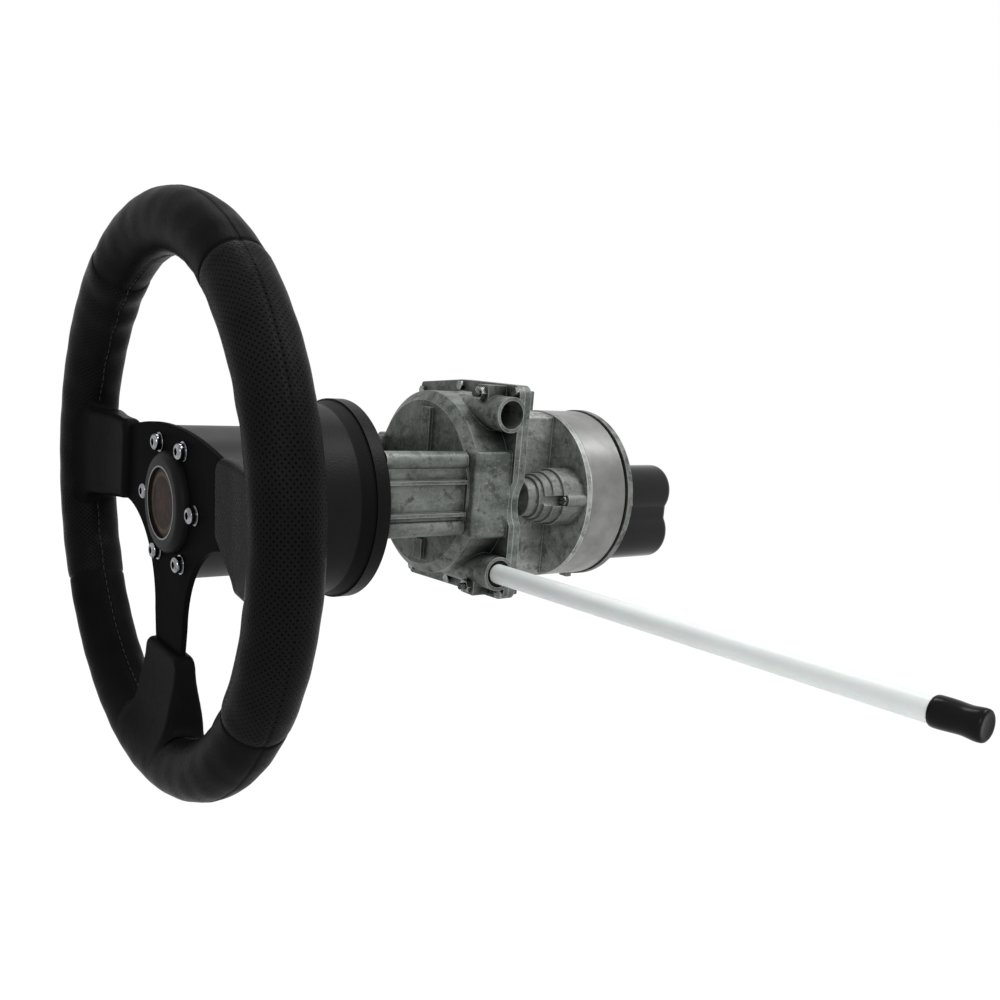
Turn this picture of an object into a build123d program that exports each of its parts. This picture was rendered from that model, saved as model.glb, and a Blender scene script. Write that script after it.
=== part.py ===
from build123d import *
from math import acos, atan2, cos, pi, radians, sin, sqrt, tan
import os

os.makedirs("parts", exist_ok=True)

# Wheel drive for a boat: sports wheel, hub adapter, dash bezel, rotary cable helm,
# planetary gearbox and motor. +X runs from the wheel into the dash, +Z is up,
# the driver's right hand is -Y. The origin is the centre of the dash plane.

# Fits and small values
fit_gap = 0.05            # turning fit, on the radius
free_gap = 0.4            # between pieces that move past each other
seat_gap = 0.02           # pieces that are pressed together
pad_gap = 0.15            # soft pad against the grip
tooth_tip = 0.9           # shares of the module
tooth_root = 1.15
tooth_half = 0.72
space_half = 0.85
end_gap = 0.5             # past the end of a pin or a shaft
blind_gap = 1.0           # left below a screw or a stud in a blind hole
gear_side_gap = 0.5       # beside a gear or the planet carrier
gear_room = 2.0           # along X, between the gears and the step or wall beside them
button_gap = 0.1          # below the pressed horn button
m6_tapping_radius = 2.5
m6_clear_radius = 3.3

# Steering wheel
wheel_x = -112.5
wheel_turned = 2.0        # degrees clockwise, as the driver sees it
rim_radius = 153.0
grip_radius = 18.5
plate_front_x = -110.5
plate_thickness = 3.5
plate_top = 44.0
plate_shoulder = 32.5
plate_shoulder_at = 80.0
spoke_curve_centre = (80.0, -69.0)
spoke_curve_radius = 57.5
arm_rise = 8.0            # degrees above level
arm_width = 36.0
arm_reach = 12.0          # how far an arm runs into the grip
foot_width = 40.0
wheel_bolt_circle = 74.0
wheel_bolt_count = 6
wheel_bolt_length = 12.0
wheel_bolt_radius = 2.5
bolt_head_radius = 4.8
bolt_head_height = 4.0
bolt_head_round = 1.8
bolt_socket_flats = 4.0
bolt_socket_depth = 2.4
bolt_washer_radius = 5.8
bolt_washer_thickness = 1.0
pad_front = 4.5           # a pad stands this far in front of the plate
pad_back = 4.5
pad_edge_round = 3.0
pad_corner_round = 6.0
side_pad_inner = 70.0
side_pad_lean = 4.0       # its end stands this much further out at the bottom
side_pad_top = 39.0
side_pad_rise = 7.0       # it widens by this much at the grip, above
side_pad_bottom = -13.0
side_pad_drop = 11.0      # and by this much below
foot_pad_top = -86.0
foot_pad_half_width = 27.5
foot_pad_flare = 7.5

# Horn button
horn_radius = 29.5
horn_height = 6.5
horn_round = 5.0
horn_seat_radius = 20.2
horn_seat_depth = 4.4
horn_button_thickness = 1.2
horn_stem_radius = 9.0
horn_stem_length = 6.7
horn_travel = 1.5
horn_skirt_radius = 13.6
horn_skirt_length = 4.5
trim_ring_width = 1.0
trim_ring_height = 0.9

# Hub adapter and shaft
hub_radius = 44.0
hub_wall = 4.0
hub_front_wall = 10.0
hub_back_x = -34.0
hub_boss_radius = 17.0
hub_boss_back_x = -62.0
nut_pocket_radius = 14.5
nut_pocket_depth = 15.0
shaft_radius = 9.525
shaft_taper = 1.0 / 24.0  # on the radius, for each mm of length
shaft_thread_radius = 6.35
shaft_thread_length = 10.0
shaft_thread_lead = 0.8
shaft_tail_radius = 7.5
shaft_nut_flats = 19.0
shaft_nut_height = 7.0
shaft_washer_radius = 12.0
shaft_washer_thickness = 2.0
key_width = 4.76
key_length = 18.0

# Dash bezel
bezel_depth = 46.0
bezel_mouth_radius = 57.0
bezel_drum_radius = 58.5
bezel_flange_radius = 61.8
bezel_flange_width = 9.5
bezel_cone_width = 9.0
bezel_wall = 4.5
bezel_floor = 6.0
bezel_round = 1.2
dash_bolt_circle = 68.0
dash_bolt_count = 4
bezel_nut_radius = 27.0
bezel_nut_height = 7.0
bezel_nut_slots = 6
bezel_nut_slot_width = 5.0
bezel_nut_slot_depth = 2.5

# Helm casting
helm_rise = 9.2           # the cable drum sits this far above the shaft
column_radius = 22.0
column_bore_radius = 13.0
column_foot_radius = 41.0
column_foot_thickness = 10.0
column_foot_fillet = 3.0
nose_radius = 19.8
nose_length = 16.0
bush_length = 20.0
leg_apart = 96.0
leg_pitch = 41.0
leg_radius = 5.8
leg_web = 7.0
leg_rib_width = 2.4
leg_rib_height = 3.0
leg_rib_at = (7.8, -12.2)     # above and below the drum's centre
helm_front_x = 59.0
helm_body_radius = 60.0
helm_front_step = 5.2     # the front face is this much smaller in radius
helm_edge = 1.0
helm_shoulder = 5.0
helm_wall = 4.5
helm_back_x = 92.0
helm_flange_thickness = 4.0
helm_flange_near = 2.0    # the flange reaches this far past the body on the near side
helm_flange_far = 11.5    # and stops this far short of its radius on the far side
helm_flange_lip = 6.9     # past the cable ports, above and below
helm_flange_drop = 4.5    # the far side is cast this much lower
helm_flange_round = 6.0
helm_plate_thickness = 5.0
flange_ear_width = 15.0   # raised screw pads on the near corners of the back plate
flange_ear_height = 4.0
ear_round = 1.5
boss_notch_radius = 24.0  # scallop in the near edge, beside the gearbox's stepped boss
boss_notch_wall = 2.0     # left outside the drum's room
side_flat_start = 1.2     # behind the front face
side_flat_trim = 0.4      # inside the body's radius
side_flat_height = 55.0
side_flat_round = 2.5
face_rib_at = -6.1
face_rib_width = 9.0
face_rib_height = 2.5
face_rib_margin = 5.0
helm_screw_radius = 2.0
helm_screw_head_radius = 3.2
helm_screw_head_height = 2.6
helm_screw_edge = 3.8     # from the edge of the flange to a screw

# Cable drum and its gears
cable_x = 82.6
drum_gap = 0.6            # between the drum and its room, on the radius
cable_sink = 4.8          # the cable's centre line lies this far inside the drum
cable_groove_radius = 4.2
drum_front_x = 66.0
drum_back_gap = 2.5
drum_gear_width = 10.5
drum_web_thickness = 4.0
drum_spigot_radius = 27.0
drum_hub_wall = 5.0
drum_rim_wall = 11.0
helm_module = 1.5
pinion_teeth = 16
idler_teeth = 18
drum_teeth = 54
helm_gear_width = 9.5
idler_pin_radius = 4.0
idler_boss_wall = 3.0

# Cable ports
port_wall = 2.2
port_bore_radius = 8.8
port_proud = 0.5          # past the near edge of the flange
port_root = 8.0
port_bore_depth = 24.0
cable_throat_radius = 4.5
clamp_stud_radius = 2.2
clamp_stud_wall = 0.4     # between the stud and the port's bore
clamp_stud_inboard = 20.0
clamp_lug_size = 11.0
clamp_lug_front = 8.6     # in front of the cable's plane
clamp_nut_flats = 8.0
clamp_nut_height = 4.0
clamp_stud_proud = 3.0

# Travel tube
tube_radius = 6.3
tube_bore_radius = 5.0
tube_length = 331.0
tube_rise = 1.33          # degrees above level
tube_sleeve_inset = 1.0
tube_sleeve_length = 16.0
cap_radius = 7.4
cap_cover = 24.0
cap_end = 3.0
cap_round = 2.4

# Gearbox casting
gearbox_radius = 57.5
gearbox_wall = 5.0
gearbox_length = 59.0
gearbox_near_flat = 16.0
gearbox_round = 2.5
gearbox_plate_thickness = 4.0
band_step = 1.0           # the band stands this far past the casting
band_length = 31.0
band_wall = 7.0
ring_seat_depth = 1.5     # the ring gear is pressed this far into the band
band_edge = 0.6
gasket_thickness = 1.6
gasket_inset = 2.0        # inside the band's radius
gasket_lip = 1.0
cover_step = 1.0          # the cover stands this far past the band
cover_thickness = 4.8
cover_tab_width = 8.0
cover_tab_height = 3.2
cover_screw_inset = 4.5   # from the band's outside to the middle of a screw
cover_screw_count = 6
cover_screw_radius = 1.5
cover_screw_depth = 8.0
cover_screw_head_radius = 3.0
cover_screw_head_height = 2.4
lever_boss_at = (-36.0, 3.5)
lever_boss_steps = ((12.6, 42.5), (14.4, 35.0), (16.0, 31.5), (17.5, 25.0), (19.3, 17.5))
lever_boss_edge = 0.5
lever_lug_radius = 4.6
lever_lug_out = 17.5
lever_lug_length = 16.0
lever_screw_length = 14.0
screw_slot_width = 1.0

# Planetary gear
ring_wall = 6.275         # outside the roots of the ring gear's teeth
sun_teeth = 18
planet_teeth = 21
planet_count = 3
planet_width = 12.0
planet_pin_radius = 3.0
carrier_thickness = 6.0
carrier_wall = 3.75       # outside the pins
spindle_radius = 5.0
spindle_reach = 16.0      # how far the spindle runs into the clutch

# Clutch gear and motor
motor_module = 1.0
clutch_gear_teeth = 50
motor_pinion_teeth = 12
clutch_gear_width = 6.0
clutch_radius = 16.5
clutch_length = 62.0
motor_radius = 17.9
motor_length = 57.0
motor_round = 2.0
motor_neck_radius = 6.5
motor_shaft_radius = 1.6
motor_shaft_seat = 20.0
lobe_wall = 2.0
lobe_gap = 0.6
lobe_step = 1.0           # the upper lobe is this much smaller in radius
lobe_round = 6.0
waist_half_width = 16.6   # of the bridge between the two lobes
motor_cover_length = 81.5

# Worked out from the values above
plate_back_x = plate_front_x + plate_thickness
nut_seat_x = plate_back_x + nut_pocket_depth
arm_end = rim_radius - grip_radius + arm_reach
hub_opening = horn_skirt_radius + free_gap
bush_bore = shaft_radius + fit_gap
drum_bore = drum_spigot_radius + fit_gap
idler_bore = idler_pin_radius + fit_gap
helm_front_radius = helm_body_radius - helm_front_step
flange_near_y = -helm_body_radius - helm_flange_near
flange_far_y = helm_body_radius - helm_flange_far
flange_x = helm_back_x - helm_flange_thickness
cavity_radius = helm_body_radius - helm_wall
cavity_x = helm_front_x + helm_wall
drum_radius = cavity_radius - drum_gap
drum_back_x = helm_back_x - drum_back_gap
cable_pitch_radius = drum_radius - cable_sink
upper_port_z = helm_rise + cable_pitch_radius
lower_port_z = helm_rise - cable_pitch_radius
port_radius = port_bore_radius + port_wall
flange_top_z = upper_port_z + port_radius + helm_flange_lip
flange_low_z = lower_port_z - port_radius - helm_flange_lip
port_out = port_proud - flange_near_y
clamp_y = clamp_stud_inboard - port_out
clamp_offset = port_bore_radius + clamp_stud_wall + clamp_stud_radius
gearbox_x = helm_back_x + helm_plate_thickness
gear_plate_x = gearbox_x + gearbox_length
band_x = gear_plate_x + gearbox_plate_thickness
band_radius = gearbox_radius + band_step
gasket_radius = band_radius - gasket_inset
cover_radius = band_radius + cover_step
cover_screw_circle = 2 * (band_radius - cover_screw_inset)
gasket_x = band_x + band_length
cover_x = gasket_x + gasket_thickness
motor_x = cover_x + cover_thickness
ring_teeth = sun_teeth + 2 * planet_teeth
planet_x = band_x + carrier_thickness + gear_room
clutch_gear_x = gasket_x - clutch_gear_width - gear_room
motor_z = -motor_module * (clutch_gear_teeth + motor_pinion_teeth) / 2
lower_lobe_radius = motor_radius + lobe_gap + lobe_wall
upper_lobe_radius = lower_lobe_radius - lobe_step

# The idler meshes with the pinion on the shaft and with the teeth inside the drum.
pinion_to_idler = helm_module * (pinion_teeth + idler_teeth) / 2
drum_to_idler = helm_module * (drum_teeth - idler_teeth) / 2
idler_z = (pinion_to_idler**2 - drum_to_idler**2 + helm_rise**2) / (2 * helm_rise)
idler_y = sqrt(pinion_to_idler**2 - idler_z**2)

# The planetary gear fills the band.
band_inner = band_radius - band_wall
ring_outer = band_inner + ring_seat_depth
gear_module = (ring_outer - ring_wall) / (ring_teeth / 2 + tooth_root)
planet_orbit = gear_module * (sun_teeth + planet_teeth) / 2
carrier_radius = planet_orbit + planet_pin_radius + carrier_wall


def wheel_face(x):
    """The wheel as the driver sees it: X to the right, Y up, normal to the driver."""
    turned = radians(wheel_turned)
    return Plane(origin=(x, 0, 0), x_dir=(0, -cos(turned), -sin(turned)), z_dir=(-1, 0, 0))


def rod(start, length, radius, at=(0, 0), mode=Mode.ADD):
    """A round bar along X from the plane at start; at is its (Y, Z)."""
    with BuildSketch(Plane.YZ.offset(start)) as section:
        with Locations(at):
            Circle(radius)
    extrude(section.sketch, amount=length, mode=mode)


def slab(start, length, low, high, mode=Mode.ADD):
    """A block along X between two (Y, Z) corners."""
    with BuildSketch(Plane.YZ.offset(start)) as section:
        with Locations(((low[0] + high[0]) / 2, (low[1] + high[1]) / 2)):
            Rectangle(high[0] - low[0], high[1] - low[1])
    extrude(section.sketch, amount=length, mode=mode)


def hexagon(start, length, flats, at=(0, 0), mode=Mode.ADD):
    with BuildSketch(Plane.YZ.offset(start)) as section:
        with Locations(at):
            RegularPolygon(flats / 2, 6, major_radius=False)
    extrude(section.sketch, amount=length, mode=mode)


def turned(points, centre_z=0.0, mode=Mode.ADD):
    """A turned shape about X from the (X, radius) corners of its half section."""
    with BuildSketch(Plane.XY.offset(centre_z)) as section:
        Polygon(*points)
    revolve(section.sketch, axis=Axis((0, 0, centre_z), (1, 0, 0)), mode=mode)


def port_rod(height, rise, start, end, radius, mode=Mode.ADD):
    """A bar along a cable port; start and end are measured out from its mouth."""
    tilt = radians(rise)
    out = (0, -cos(tilt), sin(tilt))
    base = (cable_x, -port_out + out[1] * start, height + out[2] * start)
    with BuildSketch(Plane(origin=base, x_dir=(1, 0, 0), z_dir=out)) as section:
        Circle(radius)
    extrude(section.sketch, amount=end - start, mode=mode)


def involute(angle):
    return tan(angle) - angle


def flank_angle(teeth, module, half_thickness, radius):
    """Half the angle that a 20 degree involute tooth fills at a radius."""
    pressure = radians(20)
    pitch = teeth * module / 2
    base = pitch * cos(pressure)
    at_radius = acos(base / max(radius, base))
    return half_thickness / pitch + involute(pressure) - involute(at_radius)


def gear_corners(gear, tip, root, half_thickness, place):
    """Corners of a toothed outline; tip, root and thickness are shares of the module."""
    teeth, module = gear
    pitch = teeth * module / 2
    ends = ((-1, pitch - root * module), (-1, pitch + tip * module),
            (1, pitch + tip * module), (1, pitch - root * module))
    corners = []
    for tooth in range(teeth):
        middle = place + 2 * pi * tooth / teeth
        for side, radius in ends:
            angle = middle + side * flank_angle(teeth, module, half_thickness * module, radius)
            corners.append((radius * cos(angle), radius * sin(angle)))
    return corners


def toothed(start, width, gear, place, at=(0, 0)):
    """A spur gear along X; gear is (teeth, module) and place the angle of one tooth."""
    with BuildSketch(Plane.YZ.offset(start)) as section:
        with Locations(at):
            Polygon(*gear_corners(gear, tooth_tip, tooth_root, tooth_half, place))
    extrude(section.sketch, amount=width)


def toothed_bore(start, width, gear, place, at=(0, 0)):
    """Cuts the teeth of a ring gear; place is the angle of one tooth space."""
    with BuildSketch(Plane.YZ.offset(start)) as section:
        with Locations(at):
            Polygon(*gear_corners(gear, tooth_root, tooth_tip, space_half, place))
    extrude(section.sketch, amount=width, mode=Mode.SUBTRACT)


def mesh_outside(teeth, place, towards, other_teeth):
    """The angle of a tooth of the other gear, for two gears that mesh outside."""
    share = teeth * (towards - place) / (2 * pi)
    return towards + pi - (0.5 - share) * 2 * pi / other_teeth


def mesh_inside(teeth, place, towards, ring_count):
    """The angle of a tooth space of the ring round a gear that meshes inside it."""
    share = teeth * (towards - place) / (2 * pi)
    return towards - share * 2 * pi / ring_count


def save(builder, name):
    builder.part.label = name
    export_step(builder.part, f"parts/{name}.step")


# Steering wheel

def grip_profile(extra):
    """Section of the leather grip."""
    with BuildSketch(Plane.XY) as section:
        with Locations((wheel_x, rim_radius)):
            Circle(grip_radius + extra)
    return section.sketch


def plate_profile(reach):
    """Outline of the three-spoke plate; reach is the radius at which its arms end."""
    corner_x, corner_y = spoke_curve_centre
    arc_half = spoke_curve_radius * sqrt(0.5)
    waist = corner_x - spoke_curve_radius
    arm_foot = corner_y + spoke_curve_radius
    foot_y = corner_y - foot_width / 2
    with BuildLine() as edge:
        ThreePointArc((-plate_shoulder_at, plate_shoulder), (0, plate_top),
                      (plate_shoulder_at, plate_shoulder))
        Line((plate_shoulder_at, plate_shoulder), (corner_x, arm_foot))
        ThreePointArc((corner_x, arm_foot), (corner_x - arc_half, corner_y + arc_half),
                      (waist, corner_y))
        Polyline((waist, corner_y), (foot_width / 2, foot_y),
                 (-foot_width / 2, foot_y), (-waist, corner_y))
        ThreePointArc((-waist, corner_y), (arc_half - corner_x, corner_y + arc_half),
                      (-corner_x, arm_foot))
        Line((-corner_x, arm_foot), (-plate_shoulder_at, plate_shoulder))
    make_face(edge.edges())
    arm_start = plate_shoulder_at - arm_width / 4
    for turn in (arm_rise, 180 - arm_rise):
        with Locations(Location((0, 0, 0), (0, 0, turn))):
            with Locations(((arm_start + reach) / 2, 0)):
                Rectangle(reach - arm_start, arm_width)
    with Locations((0, (corner_y - reach) / 2)):
        Rectangle(foot_width, reach + corner_y)


with BuildPart() as spoke_plate:
    with BuildSketch(wheel_face(plate_back_x)) as plate_sketch:
        plate_profile(arm_end)
        Circle(hub_opening, mode=Mode.SUBTRACT)
        with PolarLocations(wheel_bolt_circle / 2, wheel_bolt_count):
            Circle(wheel_bolt_radius + free_gap, mode=Mode.SUBTRACT)
    extrude(amount=plate_thickness)
save(spoke_plate, "spoke_plate")

# The grip is cast round the ends of the arms, so it has a slot for each.
with BuildPart() as arm_slots:
    with BuildSketch(wheel_face(plate_back_x + seat_gap)) as slot_sketch:
        plate_profile(arm_end + seat_gap)
        offset(amount=seat_gap)
    extrude(amount=plate_thickness + 2 * seat_gap)

with BuildPart() as wheel_rim:
    revolve(grip_profile(0), axis=Axis.X)
    add(arm_slots.part, mode=Mode.SUBTRACT)
save(wheel_rim, "wheel_rim")

with BuildPart() as grip_space:
    revolve(grip_profile(pad_gap), axis=Axis.X)


def spoke_pad(corners, name):
    """A moulded pad round the end of an arm, from its outline as the driver sees it."""
    with BuildPart() as pad:
        with BuildSketch(wheel_face(plate_back_x + pad_back)) as section:
            Polygon(*corners)
            fillet(section.vertices(), pad_corner_round)
        extrude(amount=pad_back + plate_thickness + pad_front)
        fillet(pad.faces().sort_by(Axis.X)[0].edges(), pad_edge_round)
        fillet(pad.faces().sort_by(Axis.X)[-1].edges(), pad_edge_round / 2)
        add(grip_space.part, mode=Mode.SUBTRACT)
        add(arm_slots.part, mode=Mode.SUBTRACT)
        inner = pad.solids().sort_by(SortBy.VOLUME)[-1]
    with BuildPart() as kept:
        add(inner)
    save(kept, name)


pad_outer = rim_radius - grip_radius / 2
for side, side_name in ((1, "right"), (-1, "left")):
    spoke_pad([(side * side_pad_inner, side_pad_top),
               (side * (side_pad_inner + side_pad_lean), side_pad_bottom),
               (side * pad_outer, side_pad_bottom - side_pad_drop),
               (side * pad_outer, side_pad_top + side_pad_rise)][::side],
              f"{side_name}_spoke_pad")
spoke_pad([(-foot_pad_half_width, foot_pad_top),
           (-foot_pad_half_width - foot_pad_flare, -pad_outer),
           (foot_pad_half_width + foot_pad_flare, -pad_outer),
           (foot_pad_half_width, foot_pad_top)], "lower_spoke_pad")

washer_face_x = plate_front_x - bolt_washer_thickness
with BuildPart() as wheel_bolt_washers:
    with BuildSketch(wheel_face(plate_front_x)):
        with PolarLocations(wheel_bolt_circle / 2, wheel_bolt_count):
            Circle(bolt_washer_radius)
            Circle(wheel_bolt_radius + seat_gap, mode=Mode.SUBTRACT)
    extrude(amount=bolt_washer_thickness)
save(wheel_bolt_washers, "wheel_bolt_washers")

with BuildPart() as wheel_bolts:
    with BuildSketch(wheel_face(washer_face_x)):
        with PolarLocations(wheel_bolt_circle / 2, wheel_bolt_count):
            Circle(bolt_head_radius)
    extrude(amount=bolt_head_height)
    head_faces = wheel_bolts.faces().filter_by(Axis.X).group_by(Axis.X)[0]
    fillet(head_faces.edges(), bolt_head_round)
    with BuildSketch(wheel_face(washer_face_x - bolt_head_height)):
        with PolarLocations(wheel_bolt_circle / 2, wheel_bolt_count):
            RegularPolygon(bolt_socket_flats / 2, 6, major_radius=False)
    extrude(amount=-bolt_socket_depth, mode=Mode.SUBTRACT)
    with BuildSketch(wheel_face(washer_face_x)):
        with PolarLocations(wheel_bolt_circle / 2, wheel_bolt_count):
            Circle(wheel_bolt_radius)
    extrude(amount=-wheel_bolt_length)
save(wheel_bolts, "wheel_bolts")

# Horn button

horn_front_x = plate_front_x - horn_height
horn_floor_x = horn_front_x + horn_seat_depth
trim_outer = horn_seat_radius + trim_ring_width
with BuildPart() as horn_surround:
    rod(horn_front_x, horn_height, horn_radius)
    fillet(horn_surround.edges().group_by(Axis.X)[0], horn_round)
    rod(horn_front_x, horn_seat_depth, horn_seat_radius, mode=Mode.SUBTRACT)
    rod(horn_front_x, trim_ring_height, trim_outer + seat_gap, mode=Mode.SUBTRACT)
    rod(plate_front_x, horn_skirt_length, horn_skirt_radius)
    rod(horn_front_x, horn_height + horn_skirt_length, horn_stem_radius + free_gap,
        mode=Mode.SUBTRACT)
save(horn_surround, "horn_surround")

with BuildPart() as horn_trim_ring:
    rod(horn_front_x, trim_ring_height, trim_outer)
    rod(horn_front_x, trim_ring_height, horn_seat_radius, mode=Mode.SUBTRACT)
save(horn_trim_ring, "horn_trim_ring")

horn_button_back_x = horn_floor_x - horn_travel - button_gap
with BuildPart() as horn_button:
    rod(horn_button_back_x - horn_button_thickness, horn_button_thickness,
        horn_seat_radius - free_gap)
    rod(horn_button_back_x, horn_stem_length, horn_stem_radius)
save(horn_button, "horn_button")

# Hub adapter and steering shaft

hub_web_x = plate_back_x + hub_front_wall
taper_big_x = hub_boss_back_x
taper_small = shaft_radius - (taper_big_x - nut_seat_x) * shaft_taper
with BuildPart() as hub_adapter:
    turned([(plate_back_x, nut_pocket_radius), (plate_back_x, hub_radius),
            (hub_back_x, hub_radius), (hub_back_x, hub_radius - hub_wall),
            (hub_web_x, hub_radius - hub_wall), (hub_web_x, hub_boss_radius),
            (taper_big_x, hub_boss_radius), (taper_big_x, shaft_radius + seat_gap),
            (nut_seat_x, taper_small + seat_gap), (nut_seat_x, nut_pocket_radius)])
    with BuildSketch(wheel_face(plate_back_x)):
        with PolarLocations(wheel_bolt_circle / 2, wheel_bolt_count):
            Circle(wheel_bolt_radius + seat_gap)
    extrude(amount=-hub_front_wall, mode=Mode.SUBTRACT)
    slab(taper_big_x - key_length, key_length, (-key_width / 2, 0),
         (key_width / 2, shaft_radius + key_width / 2), mode=Mode.SUBTRACT)
save(hub_adapter, "hub_adapter")

shaft_end_x = nut_seat_x - shaft_thread_length
shaft_step_x = drum_front_x - gear_room
carrier_back_x = band_x + carrier_thickness
taper_front_x = nut_seat_x + end_gap
with BuildPart() as steering_shaft:
    turned([(shaft_end_x, 0), (shaft_end_x, shaft_thread_radius - shaft_thread_lead),
            (shaft_end_x + shaft_thread_lead, shaft_thread_radius), (taper_front_x, shaft_thread_radius),
            (taper_front_x, shaft_radius - (taper_big_x - taper_front_x) * shaft_taper),
            (taper_big_x, shaft_radius), (shaft_step_x, shaft_radius),
            (shaft_step_x, shaft_tail_radius), (carrier_back_x, shaft_tail_radius),
            (carrier_back_x, 0)])
    slab(taper_big_x - key_length, key_length, (-key_width / 2, shaft_radius - key_width / 2),
         (key_width / 2, shaft_radius + key_width), mode=Mode.SUBTRACT)
save(steering_shaft, "steering_shaft")

with BuildPart() as shaft_key:
    slab(taper_big_x - key_length, key_length, (-key_width / 2, shaft_radius - key_width / 2),
         (key_width / 2, shaft_radius + key_width / 2))
save(shaft_key, "shaft_key")

with BuildPart() as shaft_washer:
    rod(nut_seat_x - shaft_washer_thickness, shaft_washer_thickness, shaft_washer_radius)
    rod(nut_seat_x - shaft_washer_thickness, shaft_washer_thickness,
        shaft_thread_radius + free_gap, mode=Mode.SUBTRACT)
save(shaft_washer, "shaft_washer")

shaft_nut_x = nut_seat_x - shaft_washer_thickness - shaft_nut_height
with BuildPart() as shaft_nut:
    hexagon(shaft_nut_x, shaft_nut_height, shaft_nut_flats)
    rod(shaft_nut_x, shaft_nut_height, shaft_thread_radius + seat_gap, mode=Mode.SUBTRACT)
save(shaft_nut, "shaft_nut")

# Dash bezel: a cup open towards the wheel, with the hub running inside it

rear_band_x = -bezel_flange_width
cone_x = rear_band_x - bezel_cone_width
bezel_inner = bezel_mouth_radius - bezel_wall
with BuildPart() as dash_bezel:
    turned([(-bezel_depth, bezel_inner), (-bezel_depth, bezel_mouth_radius),
            (cone_x, bezel_drum_radius), (rear_band_x, bezel_flange_radius - bezel_round),
            (rear_band_x, bezel_flange_radius), (0, bezel_flange_radius),
            (0, nose_radius + seat_gap), (-bezel_floor, nose_radius + seat_gap),
            (-bezel_floor, bezel_inner)])
    with BuildSketch(Plane.YZ.offset(-bezel_floor)):
        with PolarLocations(dash_bolt_circle / 2, dash_bolt_count, start_angle=45):
            Circle(m6_clear_radius)
    extrude(amount=bezel_floor, mode=Mode.SUBTRACT)
    fillet(dash_bezel.edges().group_by(Axis.X)[0], bezel_round)
    fillet(dash_bezel.edges().group_by(Axis.X)[-1].sort_by(SortBy.LENGTH)[-1], bezel_round)
save(dash_bezel, "dash_bezel")

with BuildPart() as bezel_nut:
    rod(-bezel_floor - bezel_nut_height, bezel_nut_height, bezel_nut_radius)
    with BuildSketch(Plane.YZ.offset(-bezel_floor - bezel_nut_height)):
        with PolarLocations(bezel_nut_radius, bezel_nut_slots):
            Rectangle(2 * bezel_nut_slot_depth, bezel_nut_slot_width)
    extrude(amount=bezel_nut_height, mode=Mode.SUBTRACT)
    rod(-bezel_floor - bezel_nut_height, bezel_nut_height, nose_radius + seat_gap,
        mode=Mode.SUBTRACT)
save(bezel_nut, "bezel_nut")

# Helm column and legs, which carry the drum case on the dash

leg_heights = [helm_rise + side * leg_pitch / 2 for side in (-1, 1)]
idler_at = (idler_y, idler_z)

with BuildPart() as helm_column:
    turned([(-nose_length, column_bore_radius), (-nose_length, nose_radius),
            (0, nose_radius), (0, column_foot_radius),
            (column_foot_thickness, column_foot_radius), (column_foot_thickness, column_radius),
            (helm_front_x, column_radius), (helm_front_x, column_bore_radius)])
    fillet(helm_column.edges().filter_by_position(Axis.X, column_foot_thickness - seat_gap,
                                                  column_foot_thickness + seat_gap)
           .sort_by(SortBy.LENGTH)[0], column_foot_fillet)
    with BuildSketch(Plane.YZ):
        with PolarLocations(dash_bolt_circle / 2, dash_bolt_count, start_angle=45):
            Circle(m6_tapping_radius)
    extrude(amount=column_foot_thickness, mode=Mode.SUBTRACT)
save(helm_column, "helm_column")

with BuildPart() as helm_legs:
    for side in (-1, 1):
        middle = side * leg_apart / 2
        for z in leg_heights:
            rod(0, helm_front_x, leg_radius, (middle, z))
        slab(0, helm_front_x, (middle - leg_web / 2, leg_heights[0]),
             (middle + leg_web / 2, leg_heights[1]))
        rib_y = middle + side * (leg_web + leg_rib_height) / 2
        for rib in leg_rib_at:
            slab(0, helm_front_x,
                 (rib_y - leg_rib_height / 2, helm_rise + rib - leg_rib_width / 2),
                 (rib_y + leg_rib_height / 2, helm_rise + rib + leg_rib_width / 2))
save(helm_legs, "helm_legs")

# Helm housing: drum case, cable ports and back flange


def flange_block(start, length):
    """The helm's back flange, a plate with its near corners rounded the most."""
    with BuildSketch(Plane.YZ.offset(start)) as section:
        Polygon((flange_near_y, flange_low_z), (flange_far_y, flange_low_z - helm_flange_drop),
                (flange_far_y, flange_top_z - helm_flange_drop), (0, flange_top_z),
                (flange_near_y, flange_top_z))
        fillet(section.vertices().group_by(Axis.X)[0], helm_flange_round)
        fillet(section.vertices().group_by(Axis.X)[-1], helm_flange_round / 2)
    extrude(section.sketch, amount=length)


def boss_notch(start, length):
    """A scallop in the near edge of the flange, level with the stepped boss."""
    floor_y = -cavity_radius - boss_notch_wall
    rod(start, length, boss_notch_radius, (floor_y - boss_notch_radius, lever_boss_at[1]),
        Mode.SUBTRACT)


def clamp_lug(height, side):
    """The ear of a cable clamp beside a port; side is +1 above it and -1 below."""
    half = clamp_lug_size / 2
    outer = height + side * (clamp_offset + half)
    slab(cable_x - clamp_lug_front, flange_x - cable_x + clamp_lug_front,
         (clamp_y - half, min(height, outer)), (clamp_y + half, max(height, outer)))


low_edge = flange_low_z - helm_flange_drop * flange_near_y / (flange_near_y - flange_far_y)
helm_screw_places = [
    (flange_near_y + helm_screw_edge, flange_top_z - helm_screw_edge),
    (0, flange_top_z - helm_screw_edge),
    (flange_far_y - helm_screw_edge, flange_top_z - helm_flange_drop - 1.5 * helm_screw_edge),
    (flange_far_y - helm_screw_edge, flange_low_z - helm_flange_drop + 1.5 * helm_screw_edge),
    (0, low_edge + helm_screw_edge),
    (flange_near_y + helm_screw_edge, flange_low_z + helm_screw_edge)]
clamp_places = [(clamp_y, upper_port_z + clamp_offset), (clamp_y, lower_port_z - clamp_offset)]

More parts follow.
